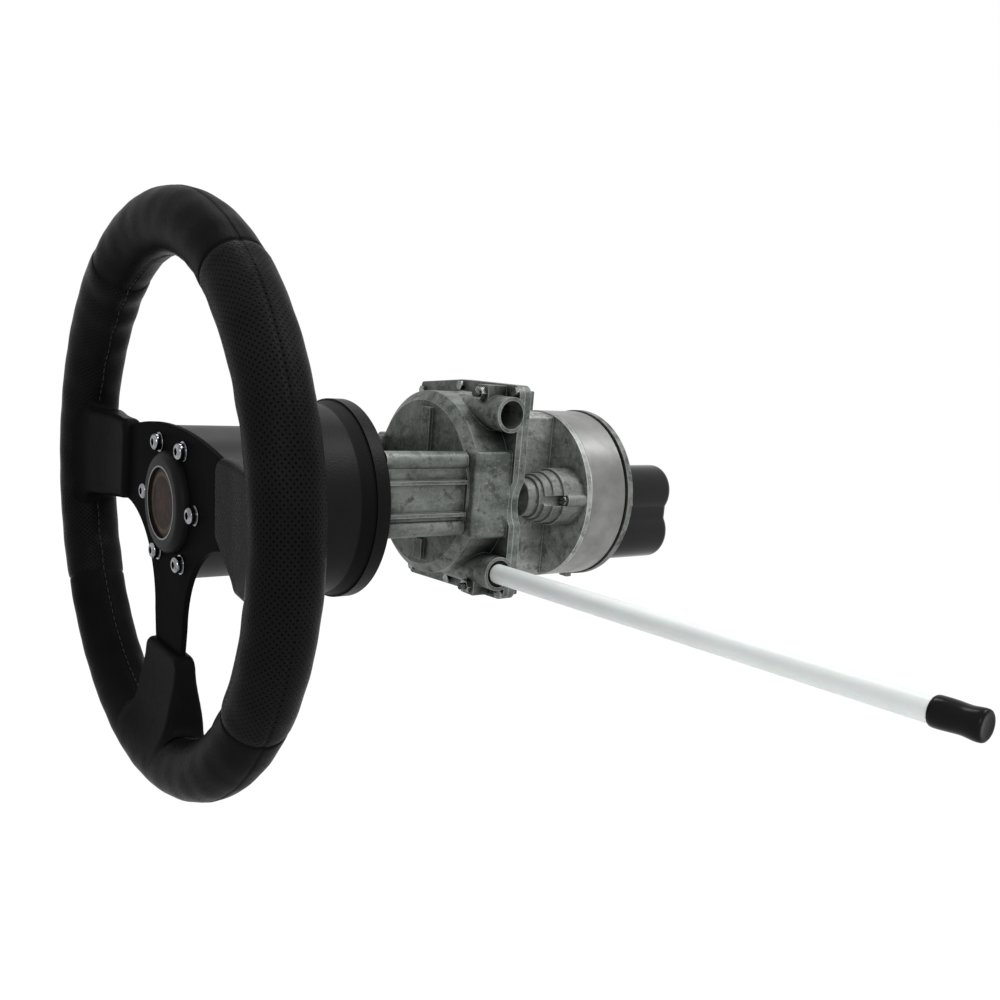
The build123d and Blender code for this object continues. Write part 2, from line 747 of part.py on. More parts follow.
with BuildPart() as side_flats:
    slab(helm_front_x + side_flat_start, flange_x - helm_front_x - side_flat_start,
         (side_flat_trim - helm_body_radius, helm_rise - side_flat_height / 2),
         (helm_body_radius - side_flat_trim, helm_rise + side_flat_height / 2))
    flat_edges = side_flats.edges()
    fillet(flat_edges.filter_by(Axis.X) + flat_edges.group_by(Axis.X)[0], side_flat_round)

with BuildPart() as helm_housing:
    turned([(helm_front_x, 0), (helm_front_x, helm_front_radius - helm_edge),
            (helm_front_x + helm_edge, helm_front_radius),
            (helm_front_x + helm_shoulder, helm_body_radius),
            (helm_back_x, helm_body_radius), (helm_back_x, 0)], helm_rise)
    add(side_flats.part)
    flange_block(flange_x, helm_flange_thickness)
    port_rod(upper_port_z, 0, port_root - port_out, 0, port_radius)
    port_rod(lower_port_z, tube_rise, port_root - port_out, 0, port_radius)
    clamp_lug(upper_port_z, 1)
    clamp_lug(lower_port_z, -1)
    boss_notch(flange_x, helm_flange_thickness)
    rod(cavity_x, helm_back_x - cavity_x, cavity_radius, (0, helm_rise), Mode.SUBTRACT)
    slab(helm_front_x - face_rib_height, face_rib_height,
         (face_rib_at - face_rib_width / 2, column_radius + face_rib_margin),
         (face_rib_at + face_rib_width / 2, helm_rise + helm_front_radius - face_rib_margin))
    slab(helm_front_x - face_rib_height, face_rib_height,
         (face_rib_at - face_rib_width / 2, helm_rise - helm_front_radius + face_rib_margin),
         (face_rib_at + face_rib_width / 2, -column_radius - face_rib_margin))
    rod(cavity_x, idler_boss_wall, idler_pin_radius + idler_boss_wall, idler_at)
    rod(helm_front_x, helm_wall, column_bore_radius, mode=Mode.SUBTRACT)
    rod(helm_front_x + helm_edge, 2 * helm_wall, idler_pin_radius + seat_gap, idler_at,
        Mode.SUBTRACT)
    for height, rise in ((upper_port_z, 0), (lower_port_z, tube_rise)):
        port_rod(height, rise, -port_bore_depth, blind_gap, port_bore_radius, Mode.SUBTRACT)
        port_rod(height, rise, 2 * port_root - port_out, -port_bore_depth,
                 cable_throat_radius, Mode.SUBTRACT)
    slab(helm_back_x, port_radius, (-port_out - blind_gap, flange_low_z),
         (port_out, flange_top_z), Mode.SUBTRACT)
    for place in clamp_places:
        rod(cable_x - clamp_lug_front, flange_x - cable_x + clamp_lug_front - blind_gap,
            clamp_stud_radius + seat_gap, place, Mode.SUBTRACT)
    for place in helm_screw_places:
        rod(flange_x, helm_flange_thickness, helm_screw_radius + seat_gap, place,
            Mode.SUBTRACT)
save(helm_housing, "helm_housing")

with BuildPart() as front_bush:
    rod(-nose_length, bush_length, column_bore_radius - seat_gap)
    rod(-nose_length, bush_length, bush_bore, mode=Mode.SUBTRACT)
save(front_bush, "front_bush")

with BuildPart() as rear_bush:
    rod(cavity_x - bush_length, bush_length, column_bore_radius - seat_gap)
    rod(cavity_x - bush_length, bush_length, bush_bore, mode=Mode.SUBTRACT)
save(rear_bush, "rear_bush")

with BuildPart() as helm_back_plate:
    flange_block(helm_back_x, helm_plate_thickness)
    boss_notch(helm_back_x, helm_plate_thickness)
    for low, high in ((flange_top_z - flange_ear_width, flange_top_z - helm_flange_round / 2),
                      (flange_low_z + helm_flange_round / 2, flange_low_z + flange_ear_width)):
        slab(gearbox_x, flange_ear_height, (flange_near_y + helm_flange_round / 4, low),
             (flange_near_y + flange_ear_width, high))
    fillet(helm_back_plate.edges().group_by(Axis.X)[-1], ear_round)
    spigot_x = drum_front_x + drum_gear_width + gear_room
    rod(spigot_x, helm_back_x - spigot_x, drum_spigot_radius, (0, helm_rise))
    rod(spigot_x, gearbox_x - spigot_x, shaft_tail_radius + fit_gap, mode=Mode.SUBTRACT)
    for place in helm_screw_places:
        rod(helm_back_x, helm_plate_thickness, helm_screw_radius + seat_gap, place,
            Mode.SUBTRACT)
save(helm_back_plate, "helm_back_plate")

with BuildPart() as helm_cover_screws:
    for place in helm_screw_places:
        hexagon(flange_x - helm_screw_head_height, helm_screw_head_height,
                2 * helm_screw_head_radius * cos(pi / 6), place)
        rod(flange_x, helm_flange_thickness + helm_plate_thickness, helm_screw_radius, place)
save(helm_cover_screws, "helm_cover_screws")

nut_face_x = cable_x - clamp_lug_front
with BuildPart() as port_clamp_studs:
    for place in clamp_places:
        rod(nut_face_x - clamp_nut_height - clamp_stud_proud,
            flange_x - nut_face_x + clamp_nut_height + clamp_stud_proud - 2 * blind_gap,
            clamp_stud_radius, place)
save(port_clamp_studs, "port_clamp_bolts")

with BuildPart() as port_clamp_nuts:
    for place in clamp_places:
        hexagon(nut_face_x - clamp_nut_height, clamp_nut_height, clamp_nut_flats, place)
        rod(nut_face_x - clamp_nut_height, clamp_nut_height, clamp_stud_radius + seat_gap,
            place, Mode.SUBTRACT)
save(port_clamp_nuts, "port_clamp_nuts")

# Cable drum and the gears that turn it

idler_towards = atan2(idler_z, idler_y)
idler_place = mesh_outside(pinion_teeth, 0, idler_towards, idler_teeth)
drum_towards = atan2(idler_z - helm_rise, idler_y)
drum_place = mesh_inside(idler_teeth, idler_place, drum_towards, drum_teeth)
helm_gear_x = drum_front_x + gear_side_gap
drum_centre = (0, helm_rise)

with BuildPart() as drive_pinion:
    toothed(helm_gear_x, helm_gear_width, (pinion_teeth, helm_module), 0)
    rod(helm_gear_x, helm_gear_width, shaft_tail_radius + seat_gap, mode=Mode.SUBTRACT)
save(drive_pinion, "drive_pinion")

with BuildPart() as idler_gear:
    toothed(helm_gear_x, helm_gear_width, (idler_teeth, helm_module), idler_place, idler_at)
    rod(helm_gear_x, helm_gear_width, idler_bore, idler_at, Mode.SUBTRACT)
save(idler_gear, "idler_gear")

with BuildPart() as idler_pin:
    rod(helm_front_x + helm_edge, helm_gear_x + helm_gear_width - helm_front_x,
        idler_pin_radius, idler_at)
save(idler_pin, "idler_pin")

web_x = drum_front_x + drum_gear_width + 2 * gear_side_gap
pocket_x = web_x + drum_web_thickness
with BuildPart() as cable_drum:
    rod(drum_front_x, drum_back_x - drum_front_x, drum_radius, drum_centre)
    toothed_bore(drum_front_x, web_x - drum_front_x, (drum_teeth, helm_module), drum_place,
                 drum_centre)
    rod(web_x, drum_back_x - web_x, drum_bore, drum_centre, Mode.SUBTRACT)
    with BuildSketch(Plane.YZ.offset(pocket_x)):
        with Locations(drum_centre):
            Circle(drum_radius - drum_rim_wall)
            Circle(drum_bore + drum_hub_wall, mode=Mode.SUBTRACT)
    extrude(amount=drum_back_x - pocket_x, mode=Mode.SUBTRACT)
    with BuildSketch(Plane.XY.offset(helm_rise)):
        with Locations((cable_x, cable_pitch_radius)):
            Circle(cable_groove_radius)
        with Locations((cable_x, cable_pitch_radius + cable_groove_radius)):
            Rectangle(2 * cable_groove_radius, 2 * cable_groove_radius)
    revolve(axis=Axis((0, 0, helm_rise), (1, 0, 0)), mode=Mode.SUBTRACT)
save(cable_drum, "cable_drum")

# Travel tube for the spent end of the cable

with BuildPart() as travel_tube:
    port_rod(lower_port_z, tube_rise, -tube_sleeve_length,
             tube_length - tube_sleeve_length, tube_radius)
    port_rod(lower_port_z, tube_rise, -tube_sleeve_length,
             tube_length - tube_sleeve_length, tube_bore_radius, Mode.SUBTRACT)
save(travel_tube, "travel_tube")

with BuildPart() as tube_sleeve:
    port_rod(lower_port_z, tube_rise, -tube_sleeve_length, -tube_sleeve_inset,
             port_bore_radius - seat_gap)
    port_rod(lower_port_z, tube_rise, -tube_sleeve_length, -tube_sleeve_inset,
             tube_radius + seat_gap, Mode.SUBTRACT)
save(tube_sleeve, "tube_sleeve")

tube_end = tube_length - tube_sleeve_length
with BuildPart() as tube_end_cap:
    port_rod(lower_port_z, tube_rise, tube_end - cap_cover, tube_end + cap_end, cap_radius)
    fillet(tube_end_cap.edges().sort_by(Axis.Y)[0], cap_round)
    port_rod(lower_port_z, tube_rise, tube_end - cap_cover, tube_end,
             tube_radius + seat_gap, Mode.SUBTRACT)
save(tube_end_cap, "tube_end_cap")

# Gearbox casting: a round case cut flat on the near side, with a stepped boss beside it


def gearbox_section(start, length, radius, flat, mode=Mode.ADD):
    with BuildSketch(Plane.YZ.offset(start)) as section:
        Circle(radius)
        with Locations((-flat - radius, 0)):
            Rectangle(2 * radius, 4 * radius, mode=Mode.SUBTRACT)
    extrude(section.sketch, amount=length, mode=mode)


with BuildPart() as gearbox_casting:
    gearbox_section(gearbox_x, gearbox_length, gearbox_radius, gearbox_near_flat)
    fillet(gearbox_casting.edges().filter_by(Axis.X), gearbox_round)
    rod(gear_plate_x, gearbox_plate_thickness, band_radius)
    gearbox_section(gearbox_x + gearbox_wall, gearbox_length + gearbox_plate_thickness,
                    gearbox_radius - gearbox_wall, gearbox_near_flat - gearbox_wall,
                    Mode.SUBTRACT)
    rod(gearbox_x, gearbox_wall, shaft_tail_radius + fit_gap, mode=Mode.SUBTRACT)
save(gearbox_casting, "gearbox_casting")

lug_at = (lever_boss_at[0] - lever_lug_out, lever_boss_at[1])
lug_face_x = gear_plate_x - lever_lug_length
boss_length = lever_boss_steps[0][1]
with BuildPart() as lever_boss:
    for radius, length in lever_boss_steps:
        rod(gear_plate_x - length, length, radius, lever_boss_at)
    step_edges = lever_boss.edges().filter_by(GeomType.CIRCLE).group_by(Axis.X)
    chamfer([edge for group in step_edges[:-1] for edge in group.sort_by(SortBy.LENGTH)[-1:]],
            lever_boss_edge)
    rod(lug_face_x, lever_lug_length, lever_lug_radius, lug_at)
    rod(gear_plate_x - boss_length, boss_length - lever_lug_length,
        helm_screw_head_radius + free_gap, lug_at, Mode.SUBTRACT)
    rod(lug_face_x, lever_screw_length + end_gap, helm_screw_radius + seat_gap, lug_at,
        Mode.SUBTRACT)
    gearbox_section(gearbox_x, gearbox_length, gearbox_radius + seat_gap,
                    gearbox_near_flat + seat_gap, Mode.SUBTRACT)
save(lever_boss, "lever_boss")

with BuildPart() as lever_cover_screw:
    rod(lug_face_x - helm_screw_head_height, helm_screw_head_height, helm_screw_head_radius,
        lug_at)
    rod(lug_face_x, lever_screw_length, helm_screw_radius, lug_at)
    slab(lug_face_x - helm_screw_head_height, helm_screw_head_height / 2,
         (lug_at[0] - helm_screw_head_radius, lug_at[1] - screw_slot_width / 2),
         (lug_at[0] + helm_screw_head_radius, lug_at[1] + screw_slot_width / 2),
         Mode.SUBTRACT)
save(lever_cover_screw, "lever_cover_screw")

# Planetary gear in the machined band

planet_turns = [2 * pi * number / planet_count for number in range(planet_count)]
planet_places = [mesh_outside(sun_teeth, 0, towards, planet_teeth) for towards in planet_turns]
planet_centres = [(planet_orbit * cos(towards), planet_orbit * sin(towards))
                  for towards in planet_turns]
ring_place = mesh_inside(planet_teeth, planet_places[0], planet_turns[0], ring_teeth)
ring_x = planet_x - 2 * gear_side_gap
ring_width = planet_width + 4 * gear_side_gap

with BuildPart() as ring_gear_band:
    rod(band_x, band_length, band_radius)
    chamfer(ring_gear_band.edges().filter_by(GeomType.CIRCLE), band_edge)
    rod(band_x, band_length, band_inner, mode=Mode.SUBTRACT)
    rod(ring_x, ring_width, ring_outer + seat_gap, mode=Mode.SUBTRACT)
    with BuildSketch(Plane.YZ.offset(gasket_x)):
        with PolarLocations(cover_screw_circle / 2, cover_screw_count):
            Circle(cover_screw_radius + seat_gap)
    extrude(amount=-cover_screw_depth, mode=Mode.SUBTRACT)
save(ring_gear_band, "ring_gear_band")

with BuildPart() as ring_gear:
    rod(ring_x, ring_width, ring_outer)
    toothed_bore(ring_x, ring_width, (ring_teeth, gear_module), ring_place)
save(ring_gear, "ring_gear")

carrier_x = band_x + gear_side_gap
with BuildPart() as planet_carrier:
    rod(carrier_x, carrier_back_x - carrier_x, carrier_radius)
    rod(carrier_x, carrier_thickness, shaft_tail_radius + seat_gap, mode=Mode.SUBTRACT)
    for centre in planet_centres:
        rod(carrier_x, carrier_thickness, planet_pin_radius + seat_gap, centre,
            Mode.SUBTRACT)
save(planet_carrier, "planet_carrier")

with BuildPart() as planet_pins:
    for centre in planet_centres:
        rod(carrier_x, planet_x + planet_width + end_gap - carrier_x, planet_pin_radius,
            centre)
save(planet_pins, "planet_pins")

for number, centre in enumerate(planet_centres):
    with BuildPart() as planet_gear:
        toothed(planet_x, planet_width, (planet_teeth, gear_module), planet_places[number],
                centre)
        rod(planet_x, planet_width, planet_pin_radius + fit_gap, centre, Mode.SUBTRACT)
    save(planet_gear, f"planet_gear_{number + 1}")

spindle_end_x = motor_x + spindle_reach
with BuildPart() as sun_gear:
    toothed(planet_x, planet_width, (sun_teeth, gear_module), 0)
    rod(planet_x + planet_width, spindle_end_x - planet_x - planet_width, spindle_radius)
save(sun_gear, "sun_gear")

# Clutch gear, clutch and motor

clutch_gear = (clutch_gear_teeth, motor_module)
with BuildPart() as clutch_wheel:
    toothed(clutch_gear_x, clutch_gear_width, clutch_gear, 0)
    rod(clutch_gear_x, clutch_gear_width, spindle_radius + seat_gap, mode=Mode.SUBTRACT)
save(clutch_wheel, "clutch_wheel")

motor_at = (0, motor_z)
motor_pinion_place = mesh_outside(clutch_gear_teeth, 0, -pi / 2, motor_pinion_teeth)
with BuildPart() as motor_pinion:
    toothed(clutch_gear_x, clutch_gear_width, (motor_pinion_teeth, motor_module),
            motor_pinion_place, motor_at)
    rod(clutch_gear_x, clutch_gear_width, motor_shaft_radius + seat_gap, motor_at,
        Mode.SUBTRACT)
save(motor_pinion, "motor_pinion")

with BuildPart() as motor_shaft:
    rod(clutch_gear_x, motor_x + motor_shaft_seat - clutch_gear_x, motor_shaft_radius,
        motor_at)
save(motor_shaft, "motor_shaft")

with BuildPart() as drive_motor:
    rod(motor_x, motor_length, motor_radius, motor_at)
    fillet(drive_motor.edges().group_by(Axis.X)[-1], motor_round)
    rod(motor_x - cover_thickness, cover_thickness, motor_neck_radius - seat_gap, motor_at)
    rod(motor_x - cover_thickness, cover_thickness + motor_shaft_seat + end_gap,
        motor_shaft_radius + fit_gap, motor_at, Mode.SUBTRACT)
save(drive_motor, "drive_motor")

with BuildPart() as clutch:
    rod(motor_x, clutch_length, clutch_radius)
    # flat on the side of the motor, so that the two cans clear each other
    slab(motor_x, clutch_length, (-clutch_radius, -clutch_radius),
         (clutch_radius, motor_z + motor_radius + free_gap), Mode.SUBTRACT)
    rod(motor_x, spindle_reach + end_gap, spindle_radius + free_gap, mode=Mode.SUBTRACT)
save(clutch, "clutch")

with BuildPart() as cover_gasket:
    rod(gasket_x, gasket_thickness, gasket_radius)
    rod(gasket_x, gasket_thickness, band_inner - gasket_lip, mode=Mode.SUBTRACT)
    with BuildSketch(Plane.YZ.offset(gasket_x)):
        with PolarLocations(cover_screw_circle / 2, cover_screw_count):
            Circle(cover_screw_radius + free_gap)
    extrude(amount=gasket_thickness, mode=Mode.SUBTRACT)
save(cover_gasket, "cover_gasket")

with BuildPart() as gearbox_cover:
    rod(cover_x, cover_thickness, cover_radius)
    chamfer(gearbox_cover.edges().group_by(Axis.X)[-1], band_edge)
    slab(cover_x, cover_thickness, (-cover_tab_width / 2, -cover_radius - cover_tab_height),
         (cover_tab_width / 2, -cover_radius + cover_tab_height))
    rod(cover_x, cover_thickness, spindle_radius + fit_gap, mode=Mode.SUBTRACT)
    rod(cover_x, cover_thickness, motor_neck_radius, motor_at, Mode.SUBTRACT)
    with BuildSketch(Plane.YZ.offset(cover_x)):
        with PolarLocations(cover_screw_circle / 2, cover_screw_count):
            Circle(cover_screw_radius + seat_gap)
    extrude(amount=cover_thickness, mode=Mode.SUBTRACT)
save(gearbox_cover, "gearbox_cover")

with BuildPart() as cover_screws:
    with BuildSketch(Plane.YZ.offset(motor_x)):
        with PolarLocations(cover_screw_circle / 2, cover_screw_count):
            Circle(cover_screw_head_radius)
    extrude(amount=cover_screw_head_height)
    with BuildSketch(Plane.YZ.offset(motor_x + cover_screw_head_height)):
        with PolarLocations(cover_screw_circle / 2, cover_screw_count):
            RegularPolygon(cover_screw_head_radius / 2, 6)
    extrude(amount=-cover_screw_head_height / 2, mode=Mode.SUBTRACT)
    with BuildSketch(Plane.YZ.offset(motor_x)):
        with PolarLocations(cover_screw_circle / 2, cover_screw_count):
            Circle(cover_screw_radius)
    extrude(amount=-cover_thickness - gasket_thickness - cover_screw_depth + blind_gap)
save(cover_screws, "cover_screws")


def cover_form(shrink):
    """The motor cover's two round lobes and the bridge between them, less a wall."""
    with BuildPart() as form:
        for length, radius, at in lobe_sizes:
            rod(motor_x, length - shrink, radius - shrink, at)
        slab(motor_x, motor_cover_length - shrink, (shrink - waist_half_width, motor_z),
             (waist_half_width - shrink, 0))
        fillet(form.edges().group_by(Axis.X)[-1], lobe_round - shrink)
    return form.part


lobe_sizes = ((motor_cover_length, upper_lobe_radius, (0, 0)),
              (motor_cover_length, lower_lobe_radius, motor_at))
with BuildPart() as motor_cover:
    add(cover_form(0))
    add(cover_form(lobe_wall), mode=Mode.SUBTRACT)
save(motor_cover, "motor_cover")
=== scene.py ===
from math import cos, pi, radians, sin, tau

import bpy
import numpy as np
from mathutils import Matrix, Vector


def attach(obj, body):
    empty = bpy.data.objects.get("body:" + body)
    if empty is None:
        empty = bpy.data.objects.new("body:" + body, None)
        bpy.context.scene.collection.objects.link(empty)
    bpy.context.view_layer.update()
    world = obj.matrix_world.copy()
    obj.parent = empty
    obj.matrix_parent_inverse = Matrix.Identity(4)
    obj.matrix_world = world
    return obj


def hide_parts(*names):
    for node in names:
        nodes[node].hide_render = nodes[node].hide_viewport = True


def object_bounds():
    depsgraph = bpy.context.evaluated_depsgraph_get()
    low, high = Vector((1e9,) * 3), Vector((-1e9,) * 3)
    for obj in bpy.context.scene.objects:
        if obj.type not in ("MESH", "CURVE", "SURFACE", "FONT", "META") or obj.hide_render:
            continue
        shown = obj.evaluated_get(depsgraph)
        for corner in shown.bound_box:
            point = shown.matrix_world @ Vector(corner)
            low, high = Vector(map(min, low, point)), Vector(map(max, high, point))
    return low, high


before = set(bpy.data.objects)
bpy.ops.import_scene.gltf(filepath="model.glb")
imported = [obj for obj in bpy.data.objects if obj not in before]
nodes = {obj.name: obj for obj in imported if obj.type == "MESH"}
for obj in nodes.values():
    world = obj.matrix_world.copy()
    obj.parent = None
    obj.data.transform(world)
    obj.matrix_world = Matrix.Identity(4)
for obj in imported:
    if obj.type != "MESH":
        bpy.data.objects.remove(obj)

cad_low, cad_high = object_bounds()

# Sizes in metres. X runs from the wheel into the dash, -Y is the driver's right.
WHEEL_X = -0.1125
RIM_RADIUS = 0.153
GRIP_RADIUS = 0.0185
WHEEL_TURNED = radians(2)
PLATE_FRONT_X = -0.1105
PLATE_BACK_X = -0.107
GRIP_ZONES = ((radians(33), radians(123)), (radians(240), radians(327)))
PERFORATION_PITCH = 0.0023

# Camera, found from the wheel's rim and the round castings
CAMERA_PLACE = (-0.325566, -0.577766, 0.097956)
CAMERA_TURN = (76.6111, -3.9452, -34.2731)
CAMERA_LENS = 37.913
CAMERA_SENSOR = 36.0
CAMERA_SHIFT = (0.060, 0.096)
CAMERA_REACH = (0.01, 100.0)

# Floor, world and lamps
FLOOR_DROP = 0.0005
FLOOR_SIZE = 60.0
FLOOR_GREY = 0.85
FLOOR_GLOW = 1.05
FLOOR_GLOW_SHARE = 0.94
WORLD_LIGHT = 0.48
WORLD_SEEN = 1.0
# Name, place, what it points at, width and height, and watts
LAMPS = (
    ("key", (0.75, -0.65, 1.6), (0.1, 0, 0), (1.0, 0.8), 22),
    ("fill", (-0.9, -1.2, 0.6), (-0.1, 0, 0), (0.35, 0.5), 5),
    ("rim light", (0.3, 0.8, 1.6), (0, 0, 0), (0.6, 0.5), 7),
)


# Materials

# 1 less the cosine of the normal's turn, where an edge starts to show paler and where it is
# fully paler
EDGE_TURN = (0.02, 0.22)
# Inside and outside of a perforation's rim, as shares of the pitch
HOLE_EDGE = (0.15, 0.25)
# Tool marks to the metre along X
TURNED_LINES = 2600
# Places along X on the bezel: its cone behind the drum, and the flange on the dash, which both
# get painted shade
CONE_START, CONE_END, CONE_EASE = -0.0188, -0.0092, 0.0006
FLANGE_START, FLANGE_EASE = -0.0097, 0.0003
# Radii on the horn button: the emblem's middle, and its border
EMBLEM_MIDDLE, EMBLEM_OUTSIDE = 0.002, 0.012
BORDER_INNER, BORDER_OUTER, BORDER_EASE = 0.0148, 0.0180, 0.0008


def shaded(colour, factor, lift=0.0):
    """A lighter or darker tone of a colour."""
    return tuple(factor * part + lift for part in colour)


class Look:
    """A node material with a Principled shader and a few short ways to add detail."""

    def __init__(self, name, colour, roughness, metallic=0.0, **sockets):
        self.material = bpy.data.materials.new(name)
        self.material.use_nodes = True
        self.tree = self.material.node_tree
        self.shader = self.tree.nodes["Principled BSDF"]
        self.material.diffuse_color = (*colour, 1)
        self.shader.inputs["Base Color"].default_value = (*colour, 1)
        self.shader.inputs["Roughness"].default_value = roughness
        self.shader.inputs["Metallic"].default_value = metallic
        for socket, value in sockets.items():
            self.shader.inputs[socket.replace("_", " ")].default_value = value
        self.normal = None

    def node(self, kind, inputs=(), **settings):
        made = self.tree.nodes.new("ShaderNode" + kind)
        for key, value in settings.items():
            setattr(made, key, value)
        for socket, value in dict(inputs).items():
            if isinstance(value, bpy.types.NodeSocket):
                self.tree.links.new(value, made.inputs[socket])
            else:
                made.inputs[socket].default_value = value
        return made

    def place(self, scale):
        """Coordinates that stay with the piece; scale is cells to the metre, per axis."""
        where = self.node("TexCoord").outputs["Object"]
        return self.node("Mapping", {"Vector": where, "Scale": scale}).outputs[0]

    def position(self):
        """X, Y and Z of a place on the piece, in metres."""
        return self.node("SeparateXYZ", {0: self.place((1, 1, 1))}).outputs

    def noise(self, scale, detail, roughness=0.55):
        if not isinstance(scale, tuple):
            scale = (scale,) * 3
        return self.node("TexNoise", {"Vector": self.place(scale), "Scale": 1.0,
                                      "Detail": detail, "Roughness": roughness}).outputs[0]

    def cells(self, scale, feature):
        return self.node("TexVoronoi", {"Vector": self.place((scale,) * 3), "Scale": 1.0},
                         feature=feature).outputs["Distance"]

    def math(self, operation, a, b=0.0):
        return self.node("Math", {0: a, 1: b}, operation=operation).outputs[0]

    def spread(self, value, low, high, to_low=0.0, to_high=1.0):
        return self.node("MapRange", {"Value": value, "From Min": low, "From Max": high,
                                      "To Min": to_low, "To Max": to_high}).outputs[0]

    def mix(self, factor, a, b):
        made = self.node("Mix", data_type="RGBA")
        for socket, value in ((made.inputs[0], factor), (made.inputs[6], a),
                              (made.inputs[7], b)):
            if isinstance(value, bpy.types.NodeSocket):
                self.tree.links.new(value, socket)
            elif isinstance(value, tuple):
                socket.default_value = (*value, 1)
            else:
                socket.default_value = value
        return made.outputs[2]

    def colour(self, value):
        self.tree.links.new(value, self.shader.inputs["Base Color"])

    def roughness(self, value):
        self.tree.links.new(value, self.shader.inputs["Roughness"])

    def bump(self, height, depth, strength):
        made = self.node("Bump", {"Height": height, "Distance": depth,
                                  "Strength": strength})
        if self.normal:
            self.tree.links.new(self.normal, made.inputs["Normal"])
        self.normal = made.outputs[0]
        self.tree.links.new(self.normal, self.shader.inputs["Normal"])

    def pebbles(self, scale, depth):
        """Rounded grains, as on moulded plastic."""
        grains = self.cells(scale, "SMOOTH_F1")
        self.bump(self.spread(grains, 0.1, 0.75, 1.0, 0.0), depth, 0.8)

    def edges(self, radius):
        """1 along outer edges, where handling and casting leave them bare; on cast metal the
        paler edges are partly painted highlight.
        """
        soft = self.node("Bevel", {"Radius": radius}, samples=6).outputs[0]
        hard = self.node("NewGeometry").outputs["Normal"]
        along = self.node("VectorMath", {0: soft, 1: hard},
                          operation="DOT_PRODUCT").outputs["Value"]
        return self.spread(self.math("SUBTRACT", 1.0, along), *EDGE_TURN)


def leather(name, colour, gloss, perforated=False):
    """Grained leather; the rows of holes follow the piece's UV map."""
    look = Look(name, colour, 0.45, Specular_IOR_Level=gloss)
    patches = look.noise(14, 3)
    grain = look.cells(1150, "DISTANCE_TO_EDGE")
    look.roughness(look.spread(patches, 0.3, 0.75, 0.24, 0.38))
    look.bump(look.spread(grain, 0.0, 0.25), 0.00008, 0.6)
    look.bump(look.noise(160, 3), 0.00035, 0.5)
    shade = look.mix(look.spread(patches, 0.3, 0.7), colour, shaded(colour, 1.6, 0.001))
    if perforated:
        across = look.node("Mapping", {"Vector": look.node("UVMap").outputs[0],
                                       "Rotation": (0, 0, pi / 4)})
        dots = look.node("TexVoronoi", {"Vector": across.outputs[0], "Scale": 1.0,
                                        "Randomness": 0.0},
                         voronoi_dimensions="2D").outputs["Distance"]
        skin = look.spread(dots, *HOLE_EDGE)
        look.bump(skin, 0.0006, 0.9)
        shade = look.mix(skin, (0.001, 0.001, 0.001), shade)
    look.colour(shade)
    return look.material


def painted(name, colour, grain, roughness, gloss, worn):
    """Paint or anodising, with a fine grain and edges worn paler."""
    look = Look(name, colour, 0.35, Specular_IOR_Level=gloss)
    look.roughness(look.spread(look.noise(22, 4), 0.3, 0.7, *roughness))
    look.bump(look.noise(grain, 3), 0.00006, 0.6)
    bare = look.edges(0.0006)
    look.colour(look.mix(look.math("MULTIPLY", bare, 0.6), colour, (worn,) * 3))
    return look.material


def textured_plastic(name, colour, grain, depth):
    look = Look(name, colour, 0.45, Specular_IOR_Level=0.1)
    look.pebbles(grain, depth)
    look.roughness(look.spread(look.noise(18, 3), 0.3, 0.7, 0.36, 0.5))
    look.colour(look.mix(look.noise(30, 4), colour, shaded(colour, 1.6)))
    return look.material


def bezel_plastic():
    """Grained satin black, duller on the cone behind the drum, and darker there and on the
    flange with painted shade.
    """
    look = Look("grained bezel", (0.006, 0.006, 0.007), 0.45, Specular_IOR_Level=0.09)
    look.pebbles(1100, 0.00012)
    along = look.position()["X"]
    # the cone: duller, and darker with painted shade further down
    cone = look.math("MULTIPLY", look.spread(along, CONE_START, CONE_START + CONE_EASE),
                     look.spread(along, CONE_END, CONE_END - CONE_EASE))
    look.roughness(look.spread(cone, 0, 1, 0.42, 0.62))
    shade = look.mix(look.noise(30, 4), (0.005, 0.005, 0.006), (0.010, 0.010, 0.011))
    # painted shade: the flange on the dash darker
    flange = look.spread(along, FLANGE_START, FLANGE_START + FLANGE_EASE)
    shade = look.mix(flange, shade, (0.002, 0.002, 0.0025))
    # painted shade: the cone darker
    look.colour(look.mix(cone, shade, (0.001, 0.001, 0.001)))
    return look.material


def cast_metal(name, dark, light, painted_shade_reach):
    """Die-cast alloy: cloudy grey with flow marks, painted shade in its corners, and edges
    painted paler, partly as bare metal and partly as painted highlight.
    """
    look = Look(name, light, 0.45, 0.5, Specular_IOR_Level=0.25)
    clouds = look.noise(48, 8, 0.68)
    flow = look.noise((26, 120, 120), 6, 0.66)
    spots = look.noise(560, 3)
    tone = look.math("ADD", look.math("MULTIPLY", clouds, 0.6),
                     look.math("MULTIPLY", flow, 0.4))
    shade = look.mix(look.spread(tone, 0.41, 0.59), dark, light)
    stain = look.spread(look.noise(95, 6, 0.7), 0.52, 0.62)
    shade = look.mix(look.math("MULTIPLY", stain, 0.75), shade, shaded(dark, 0.5))
    shade = look.mix(look.spread(spots, 0.60, 0.74, 0.0, 0.6), shade, shaded(light, 1.5))
    # painted shade: darker where ambient occlusion finds corners and recesses
    open_share = look.node("AmbientOcclusion", {"Distance": painted_shade_reach},
                           samples=6).outputs["AO"]
    shade = look.mix(look.spread(open_share, 0.3, 0.78), shaded(dark, 0.3), shade)
    # edges painted paler: partly bare metal, partly painted highlight
    look.colour(look.mix(look.math("MULTIPLY", look.edges(0.0011), 0.75), shade,
                         shaded(light, 1.9, 0.05)))
    look.roughness(look.spread(tone, 0.35, 0.68, 0.38, 0.60))
    look.bump(spots, 0.00014, 0.5)
    look.bump(look.noise(150, 4), 0.0005, 0.55)
    return look.material


